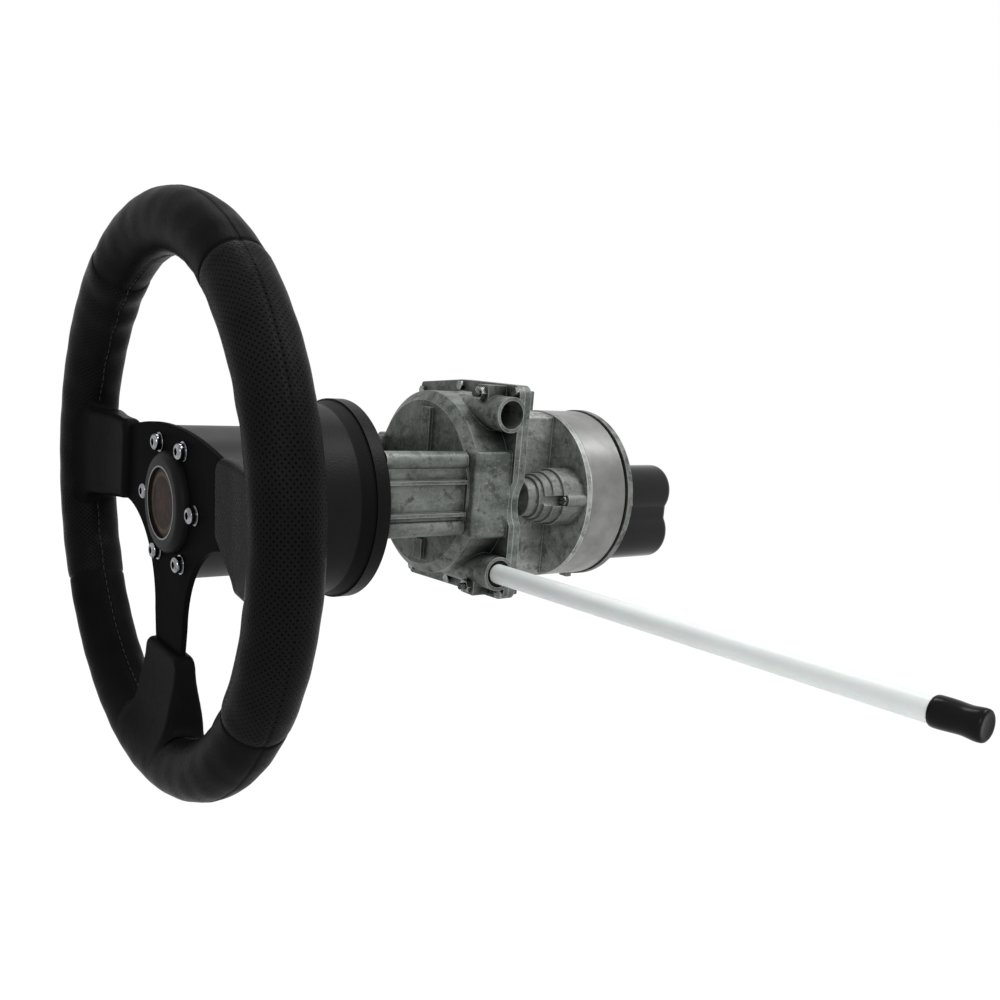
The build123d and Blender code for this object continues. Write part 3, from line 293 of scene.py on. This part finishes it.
def turned_metal(name, colour, roughness=(0.24, 0.38)):
    """Metal with the fine rings that a lathe leaves round the X axis."""
    look = Look(name, colour, 0.3, 1.0)
    lines = look.noise((TURNED_LINES, 10, 10), 3, 0.7)
    blotch = look.noise(60, 5)
    speck = look.noise(900, 2)
    look.roughness(look.spread(look.math("ADD", lines, blotch), 0.7, 1.3, *roughness))
    look.bump(look.math("ADD", lines, look.math("MULTIPLY", speck, 0.5)), 0.00006, 0.5)
    look.colour(look.mix(look.spread(blotch, 0.35, 0.65), colour, shaded(colour, 0.72)))
    return look.material


def plated(name, colour, tint, roughness=(0.16, 0.34), pitch=0.0):
    """Plated metal; a pitch in metres adds the ridges of a thread along X, with painted shade
    in its roots.
    """
    look = Look(name, colour, 0.25, 1.0)
    blotch = look.noise(260, 4)
    shade = look.mix(look.spread(blotch, 0.4, 0.65), colour, tint)
    look.roughness(look.spread(look.noise(700, 3), 0.3, 0.7, *roughness))
    look.bump(look.noise(1200, 2), 0.00003, 0.4)
    if pitch:
        along = look.position()["X"]
        ridge = look.math("SINE", look.math("MULTIPLY", along, tau / pitch))
        look.bump(ridge, 0.3 * pitch, 0.9)
        # painted shade: darker in the roots of the thread
        shade = look.mix(look.spread(ridge, -1.0, -0.2), shaded(tint, 0.3), shade)
    look.colour(shade)
    return look.material


def moulded(name, colour, roughness, ripple=0.00012, **sockets):
    """Smooth moulded plastic; ripple is the depth of its slow waves, in metres."""
    look = Look(name, colour, 0.2, **sockets)
    look.roughness(look.spread(look.noise(45, 4), 0.3, 0.7, *roughness))
    look.bump(look.noise(70, 3), ripple, 0.35)
    look.bump(look.noise(1400, 2), 0.00002, 0.3)
    look.colour(look.mix(look.noise(25, 3), colour, shaded(colour, 0.86)))
    return look.material


def horn_inlay():
    """A dark red-brown disc with a dull gold border."""
    look = Look("horn inlay", (0.02, 0.01, 0.008), 0.3, Specular_IOR_Level=0.02)
    part = look.position()
    square = look.math("ADD", look.math("POWER", part["Y"], 2.0),
                       look.math("POWER", part["Z"], 2.0))
    away = look.math("SQRT", square)
    centre = look.spread(away, EMBLEM_MIDDLE, EMBLEM_OUTSIDE)
    shade = look.mix(centre, (0.040, 0.012, 0.008), (0.016, 0.009, 0.008))
    border = look.math("MULTIPLY",
                       look.spread(away, BORDER_INNER, BORDER_INNER + BORDER_EASE),
                       look.spread(away, BORDER_OUTER, BORDER_OUTER - BORDER_EASE))
    shade = look.mix(look.math("MULTIPLY", border, 0.9), shade, (0.075, 0.050, 0.026))
    look.colour(look.mix(look.spread(look.noise(420, 4), 0.45, 0.7, 0.0, 0.5), shade,
                         (0.010, 0.008, 0.007)))
    look.roughness(look.spread(look.noise(200, 3), 0.3, 0.7, 0.25, 0.4))
    look.bump(look.noise(300, 3), 0.0001, 0.4)
    return look.material


LOOKS = {
    "grip": leather("grip leather", (0.0040, 0.0040, 0.0044), 0.008),
    "perforated": leather("perforated leather", (0.0058, 0.0058, 0.0062), 0.018, True),
    "plate": painted("black anodised plate", (0.0045, 0.0045, 0.0051), 900, (0.4, 0.52), 0.003,
                     0.015),
    "hub": painted("black hub", (0.011, 0.011, 0.013), 700, (0.36, 0.5), 0.18, 0.04),
    "bezel": bezel_plastic(),
    "horn": moulded("horn plastic", (0.012, 0.012, 0.013), (0.3, 0.42),
                    Specular_IOR_Level=0.035),
    "inlay": horn_inlay(),
    "thread": textured_plastic("sewing thread", (0.022, 0.022, 0.022), 3000, 0.00005),
    "chrome": plated("chrome", (0.28, 0.285, 0.30), (0.09, 0.09, 0.094), (0.08, 0.18)),
    # trim ring: chrome darkened all over with painted shade, as it is only partly lit
    "trim": plated("dull trim ring with painted shade", (0.10, 0.10, 0.104), (0.04, 0.04, 0.042), (0.12, 0.24)),
    "zinc": plated("zinc plate", (0.27, 0.28, 0.27), (0.12, 0.13, 0.13)),
    "stud": plated("zinc thread", (0.30, 0.31, 0.30), (0.15, 0.16, 0.16), pitch=0.0008),
    # the last number of each cast alloy is how far its painted corner shade reaches
    "cast": cast_metal("cast alloy", (0.062, 0.070, 0.064), (0.200, 0.214, 0.202), 0.014),
    # gearbox alloy: lighter than the helm's, partly its own tone and partly painted light
    # against the shade of the helm's flange
    "gearbox": cast_metal("gearbox alloy", (0.150, 0.159, 0.151), (0.390, 0.403, 0.390),
                          0.006),
    "cover": cast_metal("cover alloy", (0.090, 0.095, 0.090), (0.205, 0.212, 0.205), 0.005),
    "band": turned_metal("turned alloy", (0.25, 0.253, 0.247), (0.32, 0.46)),
    "steel": turned_metal("machined steel", (0.42, 0.42, 0.43)),
    "bronze": turned_metal("bush bronze", (0.50, 0.33, 0.16)),
    "nylon": textured_plastic("drum nylon", (0.05, 0.05, 0.05), 900, 0.00004),
    "gasket": textured_plastic("gasket", (0.012, 0.012, 0.012), 800, 0.00006),
    "motor": moulded("gloss black cover", (0.014, 0.014, 0.015), (0.12, 0.2),
                     Specular_IOR_Level=0.12),
    "tube": moulded("milky tube", (0.87, 0.89, 0.88), (0.30, 0.40),
                    Subsurface_Weight=0.25, Subsurface_Scale=0.004),
    "cap": moulded("dipped cap", (0.006, 0.006, 0.007), (0.14, 0.26), 0.0006,
                   Specular_IOR_Level=0.08),
}

# Nodes by their look
NODE_LOOKS = {
    "plate": ["spoke_plate"],
    "grip": ["wheel_rim", "left_spoke_pad", "right_spoke_pad", "lower_spoke_pad"],
    "hub": ["hub_adapter"],
    "bezel": ["dash_bezel"],
    "horn": ["horn_surround"],
    "inlay": ["horn_button"],
    "chrome": ["wheel_bolts", "wheel_bolt_washers"],
    "trim": ["horn_trim_ring"],
    "zinc": ["shaft_washer", "shaft_nut", "bezel_nut", "helm_cover_screws",
             "port_clamp_nuts", "lever_cover_screw", "cover_screws", "clutch",
             "drive_motor"],
    "stud": ["port_clamp_bolts"],
    "cast": ["helm_column", "helm_legs", "helm_housing", "helm_back_plate"],
    "gearbox": ["gearbox_casting"],
    "cover": ["lever_boss", "gearbox_cover"],
    "band": ["ring_gear_band"],
    "steel": ["steering_shaft", "shaft_key", "drive_pinion", "idler_gear", "idler_pin",
              "planet_carrier", "planet_pins", "planet_gear_1", "planet_gear_2",
              "planet_gear_3", "sun_gear", "clutch_wheel", "motor_pinion", "motor_shaft",
              "ring_gear"],
    "bronze": ["front_bush", "rear_bush"],
    "nylon": ["cable_drum"],
    "gasket": ["cover_gasket"],
    "motor": ["motor_cover"],
    "tube": ["travel_tube"],
    "cap": ["tube_sleeve", "tube_end_cap"],
}
# Nodes by the width of their rounded edges
SOFT_EDGES = {
    0.0006: ["helm_column", "helm_legs", "helm_housing", "helm_back_plate",
             "gearbox_casting", "lever_boss", "gearbox_cover"],
    0.0004: ["spoke_plate", "hub_adapter", "dash_bezel", "ring_gear_band", "horn_surround",
             "horn_button", "motor_cover", "tube_end_cap"],
    0.0003: ["wheel_bolts", "wheel_bolt_washers", "port_clamp_bolts", "port_clamp_nuts",
             "helm_cover_screws", "lever_cover_screw", "cover_screws", "bezel_nut",
             "shaft_nut", "cover_gasket", "travel_tube", "tube_sleeve"],
}
WELD_GAP = 0.000005
EDGE_SEGMENTS = 2
EDGE_ANGLE = radians(38)


def dress(node, look):
    """Gives a carried-over node its material."""
    shape = nodes[node].data
    shape.materials.clear()
    shape.materials.append(LOOKS[look])


def soften(node, width):
    """Rounds the edges of a carried-over node so that they catch the light."""
    piece = nodes[node]
    weld = piece.modifiers.new("weld", "WELD")
    weld.merge_threshold = WELD_GAP
    bevel = piece.modifiers.new("edge", "BEVEL")
    bevel.width = width
    bevel.segments = EDGE_SEGMENTS
    bevel.limit_method = "ANGLE"
    bevel.angle_limit = EDGE_ANGLE
    bevel.use_clamp_overlap = True
    bevel.harden_normals = True


for look, members in NODE_LOOKS.items():
    for member in members:
        dress(member, look)
for piece in nodes.values():
    if "custom_normal" in piece.data.attributes:
        piece.data.attributes.remove(piece.data.attributes["custom_normal"])
    piece.data.shade_smooth()
for width, members in SOFT_EDGES.items():
    for member in members:
        soften(member, width)


# Mesh helpers

def piece_from(name, points, faces, looks, body, uvs=None):
    """A mesh piece that rides on a body; looks may be one name or several."""
    shape = bpy.data.meshes.new(name)
    shape.from_pydata(points, [], faces)
    if uvs:
        layer = shape.uv_layers.new(name="UVMap")
        for loop, corner in enumerate(corner for face in uvs for corner in face):
            layer.data[loop].uv = corner
    for look in [looks] if isinstance(looks, str) else looks:
        shape.materials.append(LOOKS[look])
    shape.validate()
    shape.shade_smooth()
    made = bpy.data.objects.new(name, shape)
    bpy.context.scene.collection.objects.link(made)
    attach(made, body)
    return made


def stacked_rings(first, rings, sides):
    """Quads between rings of points, numbered from first, and a face on each end."""
    faces = []
    for ring in range(rings - 1):
        for side in range(sides):
            a, b = first + ring * sides, first + (ring + 1) * sides
            following = (side + 1) % sides
            faces.append((a + side, a + following, b + following, b + side))
    last = first + (rings - 1) * sides
    faces.append([first + side for side in range(sides)][::-1])
    faces.append([last + side for side in range(sides)])
    return faces


def on_wheel(x, across, up):
    """Row-frame point of (X, right, up) as the driver sees the wheel."""
    c, s = cos(WHEEL_TURNED), sin(WHEEL_TURNED)
    return (x, -across * c - up * s, -across * s + up * c)


# Grip: smooth leather with two perforated zones, waved on the inside for the fingers

RING_STEPS = 540
TUBE_STEPS = 56
SEAM_WIDTH = 0.0009
SEAM_DEPTH = 0.00055
OUTER_SEAM = radians(8)
INNER_SEAM = radians(181)
# Places of extra rings of points at a seam, in seam widths from its middle
CROSS_SEAM_STEPS = (-2.1, -1.4, -0.7, 0.02, 0.7, 1.4, 2.1)
LONG_SEAM_STEPS = (-1.6, -0.8, 0.01, 0.8, 1.6)
FINGER_PITCH = 0.026
FINGER_DEPTH = 0.0007
LEATHER_INSET = 0.0007    # the leather lies this far inside the CAD's grip, before its waves
ZONE_LIFT = 0.0004        # the perforated leather is this much thicker
WRINKLE_DEPTH = 0.00016


def near(angle, place, width):
    """A smooth 0..1 ridge at an angle, width in radians."""
    gap = (angle - place + pi) % tau - pi
    return 1 / (1 + (gap / width) ** 4)


def zone_share(around, beyond=0.0, ease=0.03):
    """How far a place on the ring is inside a perforated zone, eased at its ends."""
    share = 0.0
    for start, end in GRIP_ZONES:
        inside = min(around - start + beyond, end + beyond - around) / ease
        share = max(share, min(1.0, inside))
    return share


def grip_radius(around, about):
    """Radius of the grip's section at a place on the ring and on the tube."""
    inner = max(0.0, -cos(about)) ** 2
    fingers = sin(around * RIM_RADIUS / FINGER_PITCH * tau)
    waves = zone_share(around, beyond=0.25, ease=0.3) * fingers
    wrinkle = WRINKLE_DEPTH * sin(37 * around + 3 * about) * sin(11 * around - 2 * about)
    radius = GRIP_RADIUS - LEATHER_INSET + ZONE_LIFT * zone_share(around)
    radius += FINGER_DEPTH * inner * waves + wrinkle
    for start, end in GRIP_ZONES:
        for seam in (start, end):
            radius -= SEAM_DEPTH * near(around, seam, SEAM_WIDTH / RIM_RADIUS)
    for seam in (OUTER_SEAM, INNER_SEAM):
        radius -= SEAM_DEPTH * near(about, seam, SEAM_WIDTH / GRIP_RADIUS)
    return radius


def ring_angles():
    """Even steps round the ring, with a few more at each cross seam."""
    angles = [tau * step / RING_STEPS for step in range(RING_STEPS)]
    for start, end in GRIP_ZONES:
        for seam in (start, end):
            angles += [seam + step * SEAM_WIDTH / RIM_RADIUS for step in CROSS_SEAM_STEPS]
    return sorted(angles)


def tube_angles():
    """Even steps about the grip's section, with a few more at each long seam."""
    angles = [tau * step / TUBE_STEPS for step in range(TUBE_STEPS)]
    for seam in (OUTER_SEAM, INNER_SEAM):
        angles += [seam + step * SEAM_WIDTH / GRIP_RADIUS for step in LONG_SEAM_STEPS]
    return sorted(angles)


def grip_point(around, about, lift=0.0):
    """A point of the leather, or lifted off it."""
    radius = grip_radius(around, about) + lift
    reach = RIM_RADIUS + radius * cos(about)
    return on_wheel(WHEEL_X - radius * sin(about), reach * sin(around), reach * cos(around))


def make_grip():
    rings, tubes = ring_angles(), tube_angles()
    rows, columns = len(rings), len(tubes)
    points = [grip_point(around, about) for around in rings for about in tubes]
    faces, uvs, looks = [], [], []
    for row, (start, end) in enumerate(zip(rings, rings[1:] + [rings[0] + tau])):
        a, b = row * columns, (row + 1) % rows * columns
        perforated = any(low < (start + end) / 2 < high for low, high in GRIP_ZONES)
        for column, (left, right) in enumerate(zip(tubes, tubes[1:] + [tubes[0] + tau])):
            following = (column + 1) % columns
            faces.append((a + column, a + following, b + following, b + column))
            uvs.append([(around * RIM_RADIUS / PERFORATION_PITCH,
                         about * GRIP_RADIUS / PERFORATION_PITCH)
                        for around, about in ((start, left), (start, right),
                                              (end, right), (end, left))])
            looks.append(int(perforated))
    grip = piece_from("grip", points, faces, ["grip", "perforated"], "wheel",
                      uvs)
    grip.data.polygons.foreach_set("material_index", looks)
    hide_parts("wheel_rim")


STITCH_STEP = 0.0052
STITCH_LENGTH = 0.0040
STITCH_RADIUS = 0.00032
STITCH_SINK = 0.0003      # a stitch's ends lie this far below its middle
STITCH_SIDES = 6
# Place along the stitch and share of its radius
STITCH_PROFILE = ((-0.5, 0.25), (-0.38, 0.9), (0.0, 1.0), (0.38, 0.9), (0.5, 0.25))
OUTWARD_STEP = 0.01       # a point this far off the leather shows which way is out


def make_stitches():
    """A sewn thread along the inner seam: short rounded stitches with gaps between."""
    count = int(tau * (RIM_RADIUS - GRIP_RADIUS) / STITCH_STEP)
    turn = STITCH_LENGTH / (RIM_RADIUS - GRIP_RADIUS)
    points, faces = [], []
    for number in range(count):
        faces += stacked_rings(len(points), len(STITCH_PROFILE), STITCH_SIDES)
        for along, thick in STITCH_PROFILE:
            around = tau * number / count + along * turn
            sink = STITCH_SINK * (2 * along) ** 2
            centre = Vector(grip_point(around, INNER_SEAM, SEAM_DEPTH - sink))
            beyond = Vector(grip_point(around, INNER_SEAM, OUTWARD_STEP))
            outward = (beyond - centre).normalized()
            for side in range(STITCH_SIDES):
                angle = tau * side / STITCH_SIDES
                points.append(centre + STITCH_RADIUS * thick
                              * (cos(angle) * outward + sin(angle) * Vector((1, 0, 0))))
    piece_from("seam_thread", points, faces, "thread", "wheel")


make_grip()
make_stitches()


# Pads: each flows from the end of an arm into the grip

PAD_STEP = 0.0010         # of the grid that the surface is sampled on
PAD_CORNER = 0.008        # radius of the outline's corners
PAD_EDGE = 0.0038         # radius of the edge between outline and face
PAD_REACH = 0.0045        # a pad stands this far off the plate, in front and behind
PAD_SWELL = 0.0055        # a pad is this much thicker where it meets the grip
SWELL_START = 0.095       # from the wheel's middle
SWELL_LENGTH = 0.040
GRIP_SINK = 0.0010        # the grip that a pad blends with lies this far under the CAD's
FRONT_BLEND = 0.6         # the blend is this much wider in front, reached over FRONT_DEPTH
FRONT_DEPTH = 0.009
PAD_HIDDEN = 0.0009       # what lies deeper than this in the grip is left out
CROWN_GAP = 0.002         # a pad ends this far inside the grip's crown
PAD_GRID_X = (-0.1315, -0.0935)
PAD_GRID_MARGIN = 0.014
PAD_EASE = (0.5, 3)       # strength and rounds of the smoothing
# Node, look, blend into the grip, and the corners' centres to the right and up
PADS = (
    ("right_spoke_pad", "perforated", 0.008,
     ((0.078, 0.0300), (0.080, 0.0000), (0.104, -0.0190), (0.150, -0.0160),
      (0.150, 0.0290))),
    ("left_spoke_pad", "grip", 0.007,
     ((-0.078, 0.0300), (-0.080, -0.0045), (-0.150, -0.0135), (-0.150, 0.0150),
      (-0.124, 0.0300))),
    ("lower_spoke_pad", "grip", 0.008,
     ((-0.0195, -0.094), (-0.0225, -0.150), (0.0215, -0.150), (0.0195, -0.094))),
)


def outline_distance(across, up, corners):
    """Distance to a closed outline, negative inside it."""
    nearest = np.full(across.shape, 1.0)
    inside = np.zeros(across.shape, bool)
    for (ax, ay), (bx, by) in zip(corners, corners[1:] + corners[:1]):
        edge_x, edge_y = bx - ax, by - ay
        share = ((across - ax) * edge_x + (up - ay) * edge_y) / (edge_x**2 + edge_y**2)
        share = np.clip(share, 0, 1)
        gap = (across - ax - share * edge_x) ** 2 + (up - ay - share * edge_y) ** 2
        nearest = np.minimum(nearest, gap)
        if ay != by:
            crosses = (ay > up) != (by > up)
            inside ^= crosses & (across < ax + (up - ay) * edge_x / edge_y)
    return np.where(inside, -1, 1) * np.sqrt(nearest)


def grip_distance(x, across, up):
    """Distance to the CAD's plain round grip, negative inside it."""
    return np.hypot(np.hypot(across, up) - RIM_RADIUS, x - WHEEL_X) - GRIP_RADIUS


def pad_distance(x, across, up, corners, merge):
    """Distance to a pad that is blended into the grip."""
    away = np.hypot(across, up)
    share = np.clip((away - SWELL_START) / SWELL_LENGTH, 0, 1)
    reach = PAD_REACH + PAD_SWELL * share**2 * (3 - 2 * share)
    side = outline_distance(across, up, corners) - PAD_CORNER + PAD_EDGE
    face = np.maximum(PLATE_FRONT_X - reach - x, x - PLATE_BACK_X - reach) + PAD_EDGE
    outer = np.hypot(np.maximum(side, 0), np.maximum(face, 0))
    pad = np.minimum(np.maximum(side, face), 0) + outer - PAD_EDGE
    grip = grip_distance(x, across, up) + GRIP_SINK
    merge = merge * (1 + FRONT_BLEND * np.clip((PLATE_FRONT_X - x) / FRONT_DEPTH, 0, 1))
    blend = np.clip(0.5 + 0.5 * (grip - pad) / merge, 0, 1)
    return grip * (1 - blend) + pad * blend - merge * blend * (1 - blend)


def surface_of(field, origin, step):
    """Points and quads of the zero surface of a field that is sampled on a grid.

    A cell that the surface crosses gets one point, the mean of the crossings on its edges.
    A grid edge that it crosses gets a quad between the four cells round the edge.
    """
    inner = field < 0
    size = np.array(field.shape) - 1
    total = np.zeros((*size, 3))
    count = np.zeros(size)
    corners = [np.array((a, b, c)) for a in (0, 1) for b in (0, 1) for c in (0, 1)]

    def part(values, corner):
        return values[tuple(slice(c, c + n) for c, n in zip(corner, size))]

    for start in corners:
        for end in corners:
            if (end - start).sum() != 1 or abs(end - start).sum() != 1:
                continue
            first, last = part(field, start), part(field, end)
            crossed = (first < 0) != (last < 0)
            share = np.where(crossed, first / np.where(crossed, first - last, 1), 0)
            place = start + share[..., None] * (end - start)
            total += np.where(crossed[..., None], place, 0)
            count += crossed
    used = count > 0
    number = np.full(size, -1)
    number[used] = np.arange(used.sum())
    points = origin + step * (np.argwhere(used) + total[used] / count[used][:, None])
    faces = []
    for axis in range(3):
        side_a, side_b = [np.eye(3, dtype=int)[other] for other in range(3) if other != axis]
        along = np.eye(3, dtype=int)[axis]
        low = inner[tuple(slice(0, n if k == axis else n + 1) for k, n in enumerate(size))]
        high = inner[tuple(slice(1 if k == axis else 0, n + 1) for k, n in enumerate(size))]
        edges = np.argwhere(low != high)
        edges = edges[np.all((edges * (1 - along) >= (1 - along))
                             & (edges <= size - 1), axis=1)]
        quad = [number[tuple((edges - back).T)]
                for back in (side_a + side_b, side_a, 0 * side_a, side_b)]
        quad = np.stack(quad, axis=1)
        flip = low[tuple(edges.T)] == (axis == 1)
        quad[flip] = quad[flip][:, ::-1]
        faces.append(quad)
    faces = np.concatenate(faces)
    return points, faces[(faces >= 0).all(axis=1)]


def make_pad(node, look, merge, corners):
    """The part of a blended pad that shows outside the grip."""
    low = np.array((PAD_GRID_X[0], *np.min(corners, axis=0)))
    high = np.array((PAD_GRID_X[1], *np.max(corners, axis=0)))
    low[1:] -= PAD_GRID_MARGIN
    high[1:] += PAD_GRID_MARGIN
    grid = [np.arange(a, b, PAD_STEP) for a, b in zip(low, high)]
    x, across, up = np.meshgrid(*grid, indexing="ij")
    points, faces = surface_of(pad_distance(x, across, up, corners, merge), low,
                               PAD_STEP)
    middle = points[faces].mean(axis=1)
    shown = grip_distance(*middle.T) > -PAD_HIDDEN
    shown &= np.hypot(middle[:, 1], middle[:, 2]) < RIM_RADIUS - CROWN_GAP
    faces = faces[shown]
    kept, back = np.unique(faces, return_inverse=True)
    points, faces = points[kept], back.reshape(-1, 4)
    flat = points[:, 1:] / PERFORATION_PITCH
    uvs = [[tuple(flat[corner]) for corner in face] for face in faces]
    pad = piece_from(node.replace("spoke", "soft"), [on_wheel(*point) for point in points],
                     faces.tolist(), look, "wheel", uvs)
    ease = pad.modifiers.new("ease", "SMOOTH")
    ease.factor, ease.iterations = PAD_EASE
    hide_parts(node)


for pad in PADS:
    make_pad(*pad)


# Cap dipped over the tube's end: a soft neck and a swollen, slightly flattened end

TUBE_MOUTH = Vector((0.0826, -0.0625, -0.0409))
TUBE_RISE = radians(1.33)
CAP_START = 0.2955
CAP_LENGTH = 0.0225
CAP_SIDES = 36
CAP_FLATTENING = 0.12     # share by which the far end is narrower along X
CAP_WAVE = 0.012          # share by which the dipped skin varies
MILLIMETRE = 0.001
# Share of the length and radius in millimetres
CAP_PROFILE = ((0.0, 6.36), (0.008, 6.8), (0.03, 7.05), (0.10, 7.15), (0.25, 7.1),
               (0.42, 6.92), (0.56, 6.72), (0.66, 6.74), (0.75, 6.98), (0.83, 7.2),
               (0.90, 7.28), (0.95, 7.2), (0.98, 6.95), (0.995, 6.5), (1.0, 5.9),
               (0.994, 4.8), (0.985, 3.0), (0.982, 1.0))


def make_cap():
    along = Vector((0, -cos(TUBE_RISE), sin(TUBE_RISE)))
    upward = Vector((0, sin(TUBE_RISE), cos(TUBE_RISE)))
    points = []
    for share, radius in CAP_PROFILE:
        centre = TUBE_MOUTH + along * (CAP_START + share * CAP_LENGTH)
        flat = 1 - CAP_FLATTENING * share ** 3
        for side in range(CAP_SIDES):
            angle = tau * side / CAP_SIDES
            reach = MILLIMETRE * radius * (1 + CAP_WAVE * sin(3 * angle + 9 * share))
            points.append(centre + reach * (flat * cos(angle) * Vector((1, 0, 0))
                                            + sin(angle) * upward))
    faces = stacked_rings(0, len(CAP_PROFILE), CAP_SIDES)
    cap = piece_from("dipped_cap", points, faces, "cap", "housing")
    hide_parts("tube_end_cap")


make_cap()


# Floor, light and camera

def stage_plane(name, size, height, material):
    """A square floor, which is no part of the object."""
    shape = bpy.data.meshes.new(name)
    half = size / 2
    shape.from_pydata([(-half, -half, height), (half, -half, height),
                       (half, half, height), (-half, half, height)], [], [(0, 1, 2, 3)])
    shape.materials.append(material)
    made = bpy.data.objects.new(name, shape)
    bpy.context.scene.collection.objects.link(made)


def seen_share(tree, rays):
    """1 for what is seen straight, mirrored or through glass, 0 for other light."""
    seen = rays["Is Camera Ray"]
    for kind in ("Is Glossy Ray", "Is Transmission Ray"):
        both = tree.nodes.new("ShaderNodeMath")
        both.operation = "MAXIMUM"
        tree.links.new(seen, both.inputs[0])
        tree.links.new(rays[kind], both.inputs[1])
        seen = both.outputs[0]
    return seen


def pale_floor():
    """White where it is seen, straight or mirrored, and pale grey to all other light."""
    floor = bpy.data.materials.new("pale floor")
    floor.use_nodes = True
    tree = floor.node_tree
    tree.nodes.remove(tree.nodes["Principled BSDF"])
    out = tree.nodes["Material Output"]
    rays = tree.nodes.new("ShaderNodeLightPath").outputs
    diffuse = tree.nodes.new("ShaderNodeBsdfDiffuse")
    diffuse.inputs["Color"].default_value = (FLOOR_GREY, FLOOR_GREY, FLOOR_GREY, 1)
    glow = tree.nodes.new("ShaderNodeEmission")
    glow.inputs["Strength"].default_value = FLOOR_GLOW
    share = tree.nodes.new("ShaderNodeMath")
    share.operation = "MULTIPLY"
    share.inputs[1].default_value = FLOOR_GLOW_SHARE
    tree.links.new(seen_share(tree, rays), share.inputs[0])
    mix = tree.nodes.new("ShaderNodeMixShader")
    tree.links.new(share.outputs[0], mix.inputs[0])
    tree.links.new(diffuse.outputs[0], mix.inputs[1])
    tree.links.new(glow.outputs[0], mix.inputs[2])
    tree.links.new(mix.outputs[0], out.inputs["Surface"])
    return floor


def soft_world():
    """Soft grey light all round, and white where the background is seen or mirrored."""
    world = bpy.data.worlds.new("studio")
    bpy.context.scene.world = world
    world.use_nodes = True
    tree = world.node_tree
    back = tree.nodes["Background"]
    back.inputs["Color"].default_value = (1, 1, 1, 1)
    rays = tree.nodes.new("ShaderNodeLightPath").outputs
    level = tree.nodes.new("ShaderNodeMapRange")
    level.inputs["To Min"].default_value = WORLD_LIGHT
    level.inputs["To Max"].default_value = WORLD_SEEN
    tree.links.new(seen_share(tree, rays), level.inputs["Value"])
    tree.links.new(level.outputs[0], back.inputs["Strength"])


def area_light(name, place, target, size, power):
    lamp = bpy.data.lights.new(name, "AREA")
    lamp.shape = "RECTANGLE"
    lamp.size, lamp.size_y = size
    lamp.energy = power
    made = bpy.data.objects.new(name, lamp)
    made.location = place
    made.rotation_euler = (Vector(target) - Vector(place)).to_track_quat("-Z", "Y").to_euler()
    bpy.context.scene.collection.objects.link(made)


stage_plane("floor", FLOOR_SIZE, cad_low.z - FLOOR_DROP, pale_floor())
soft_world()
for lamp in LAMPS:
    area_light(*lamp)

camera_data = bpy.data.cameras.new("camera")
camera_data.lens = CAMERA_LENS
camera_data.sensor_width = CAMERA_SENSOR
camera_data.shift_x, camera_data.shift_y = CAMERA_SHIFT
camera_data.clip_start, camera_data.clip_end = CAMERA_REACH
camera = bpy.data.objects.new("camera", camera_data)
camera.location = CAMERA_PLACE
camera.rotation_euler = [radians(angle) for angle in CAMERA_TURN]
bpy.context.scene.collection.objects.link(camera)
bpy.context.scene.camera = camera
bpy.context.scene.view_settings.view_transform = "Standard"
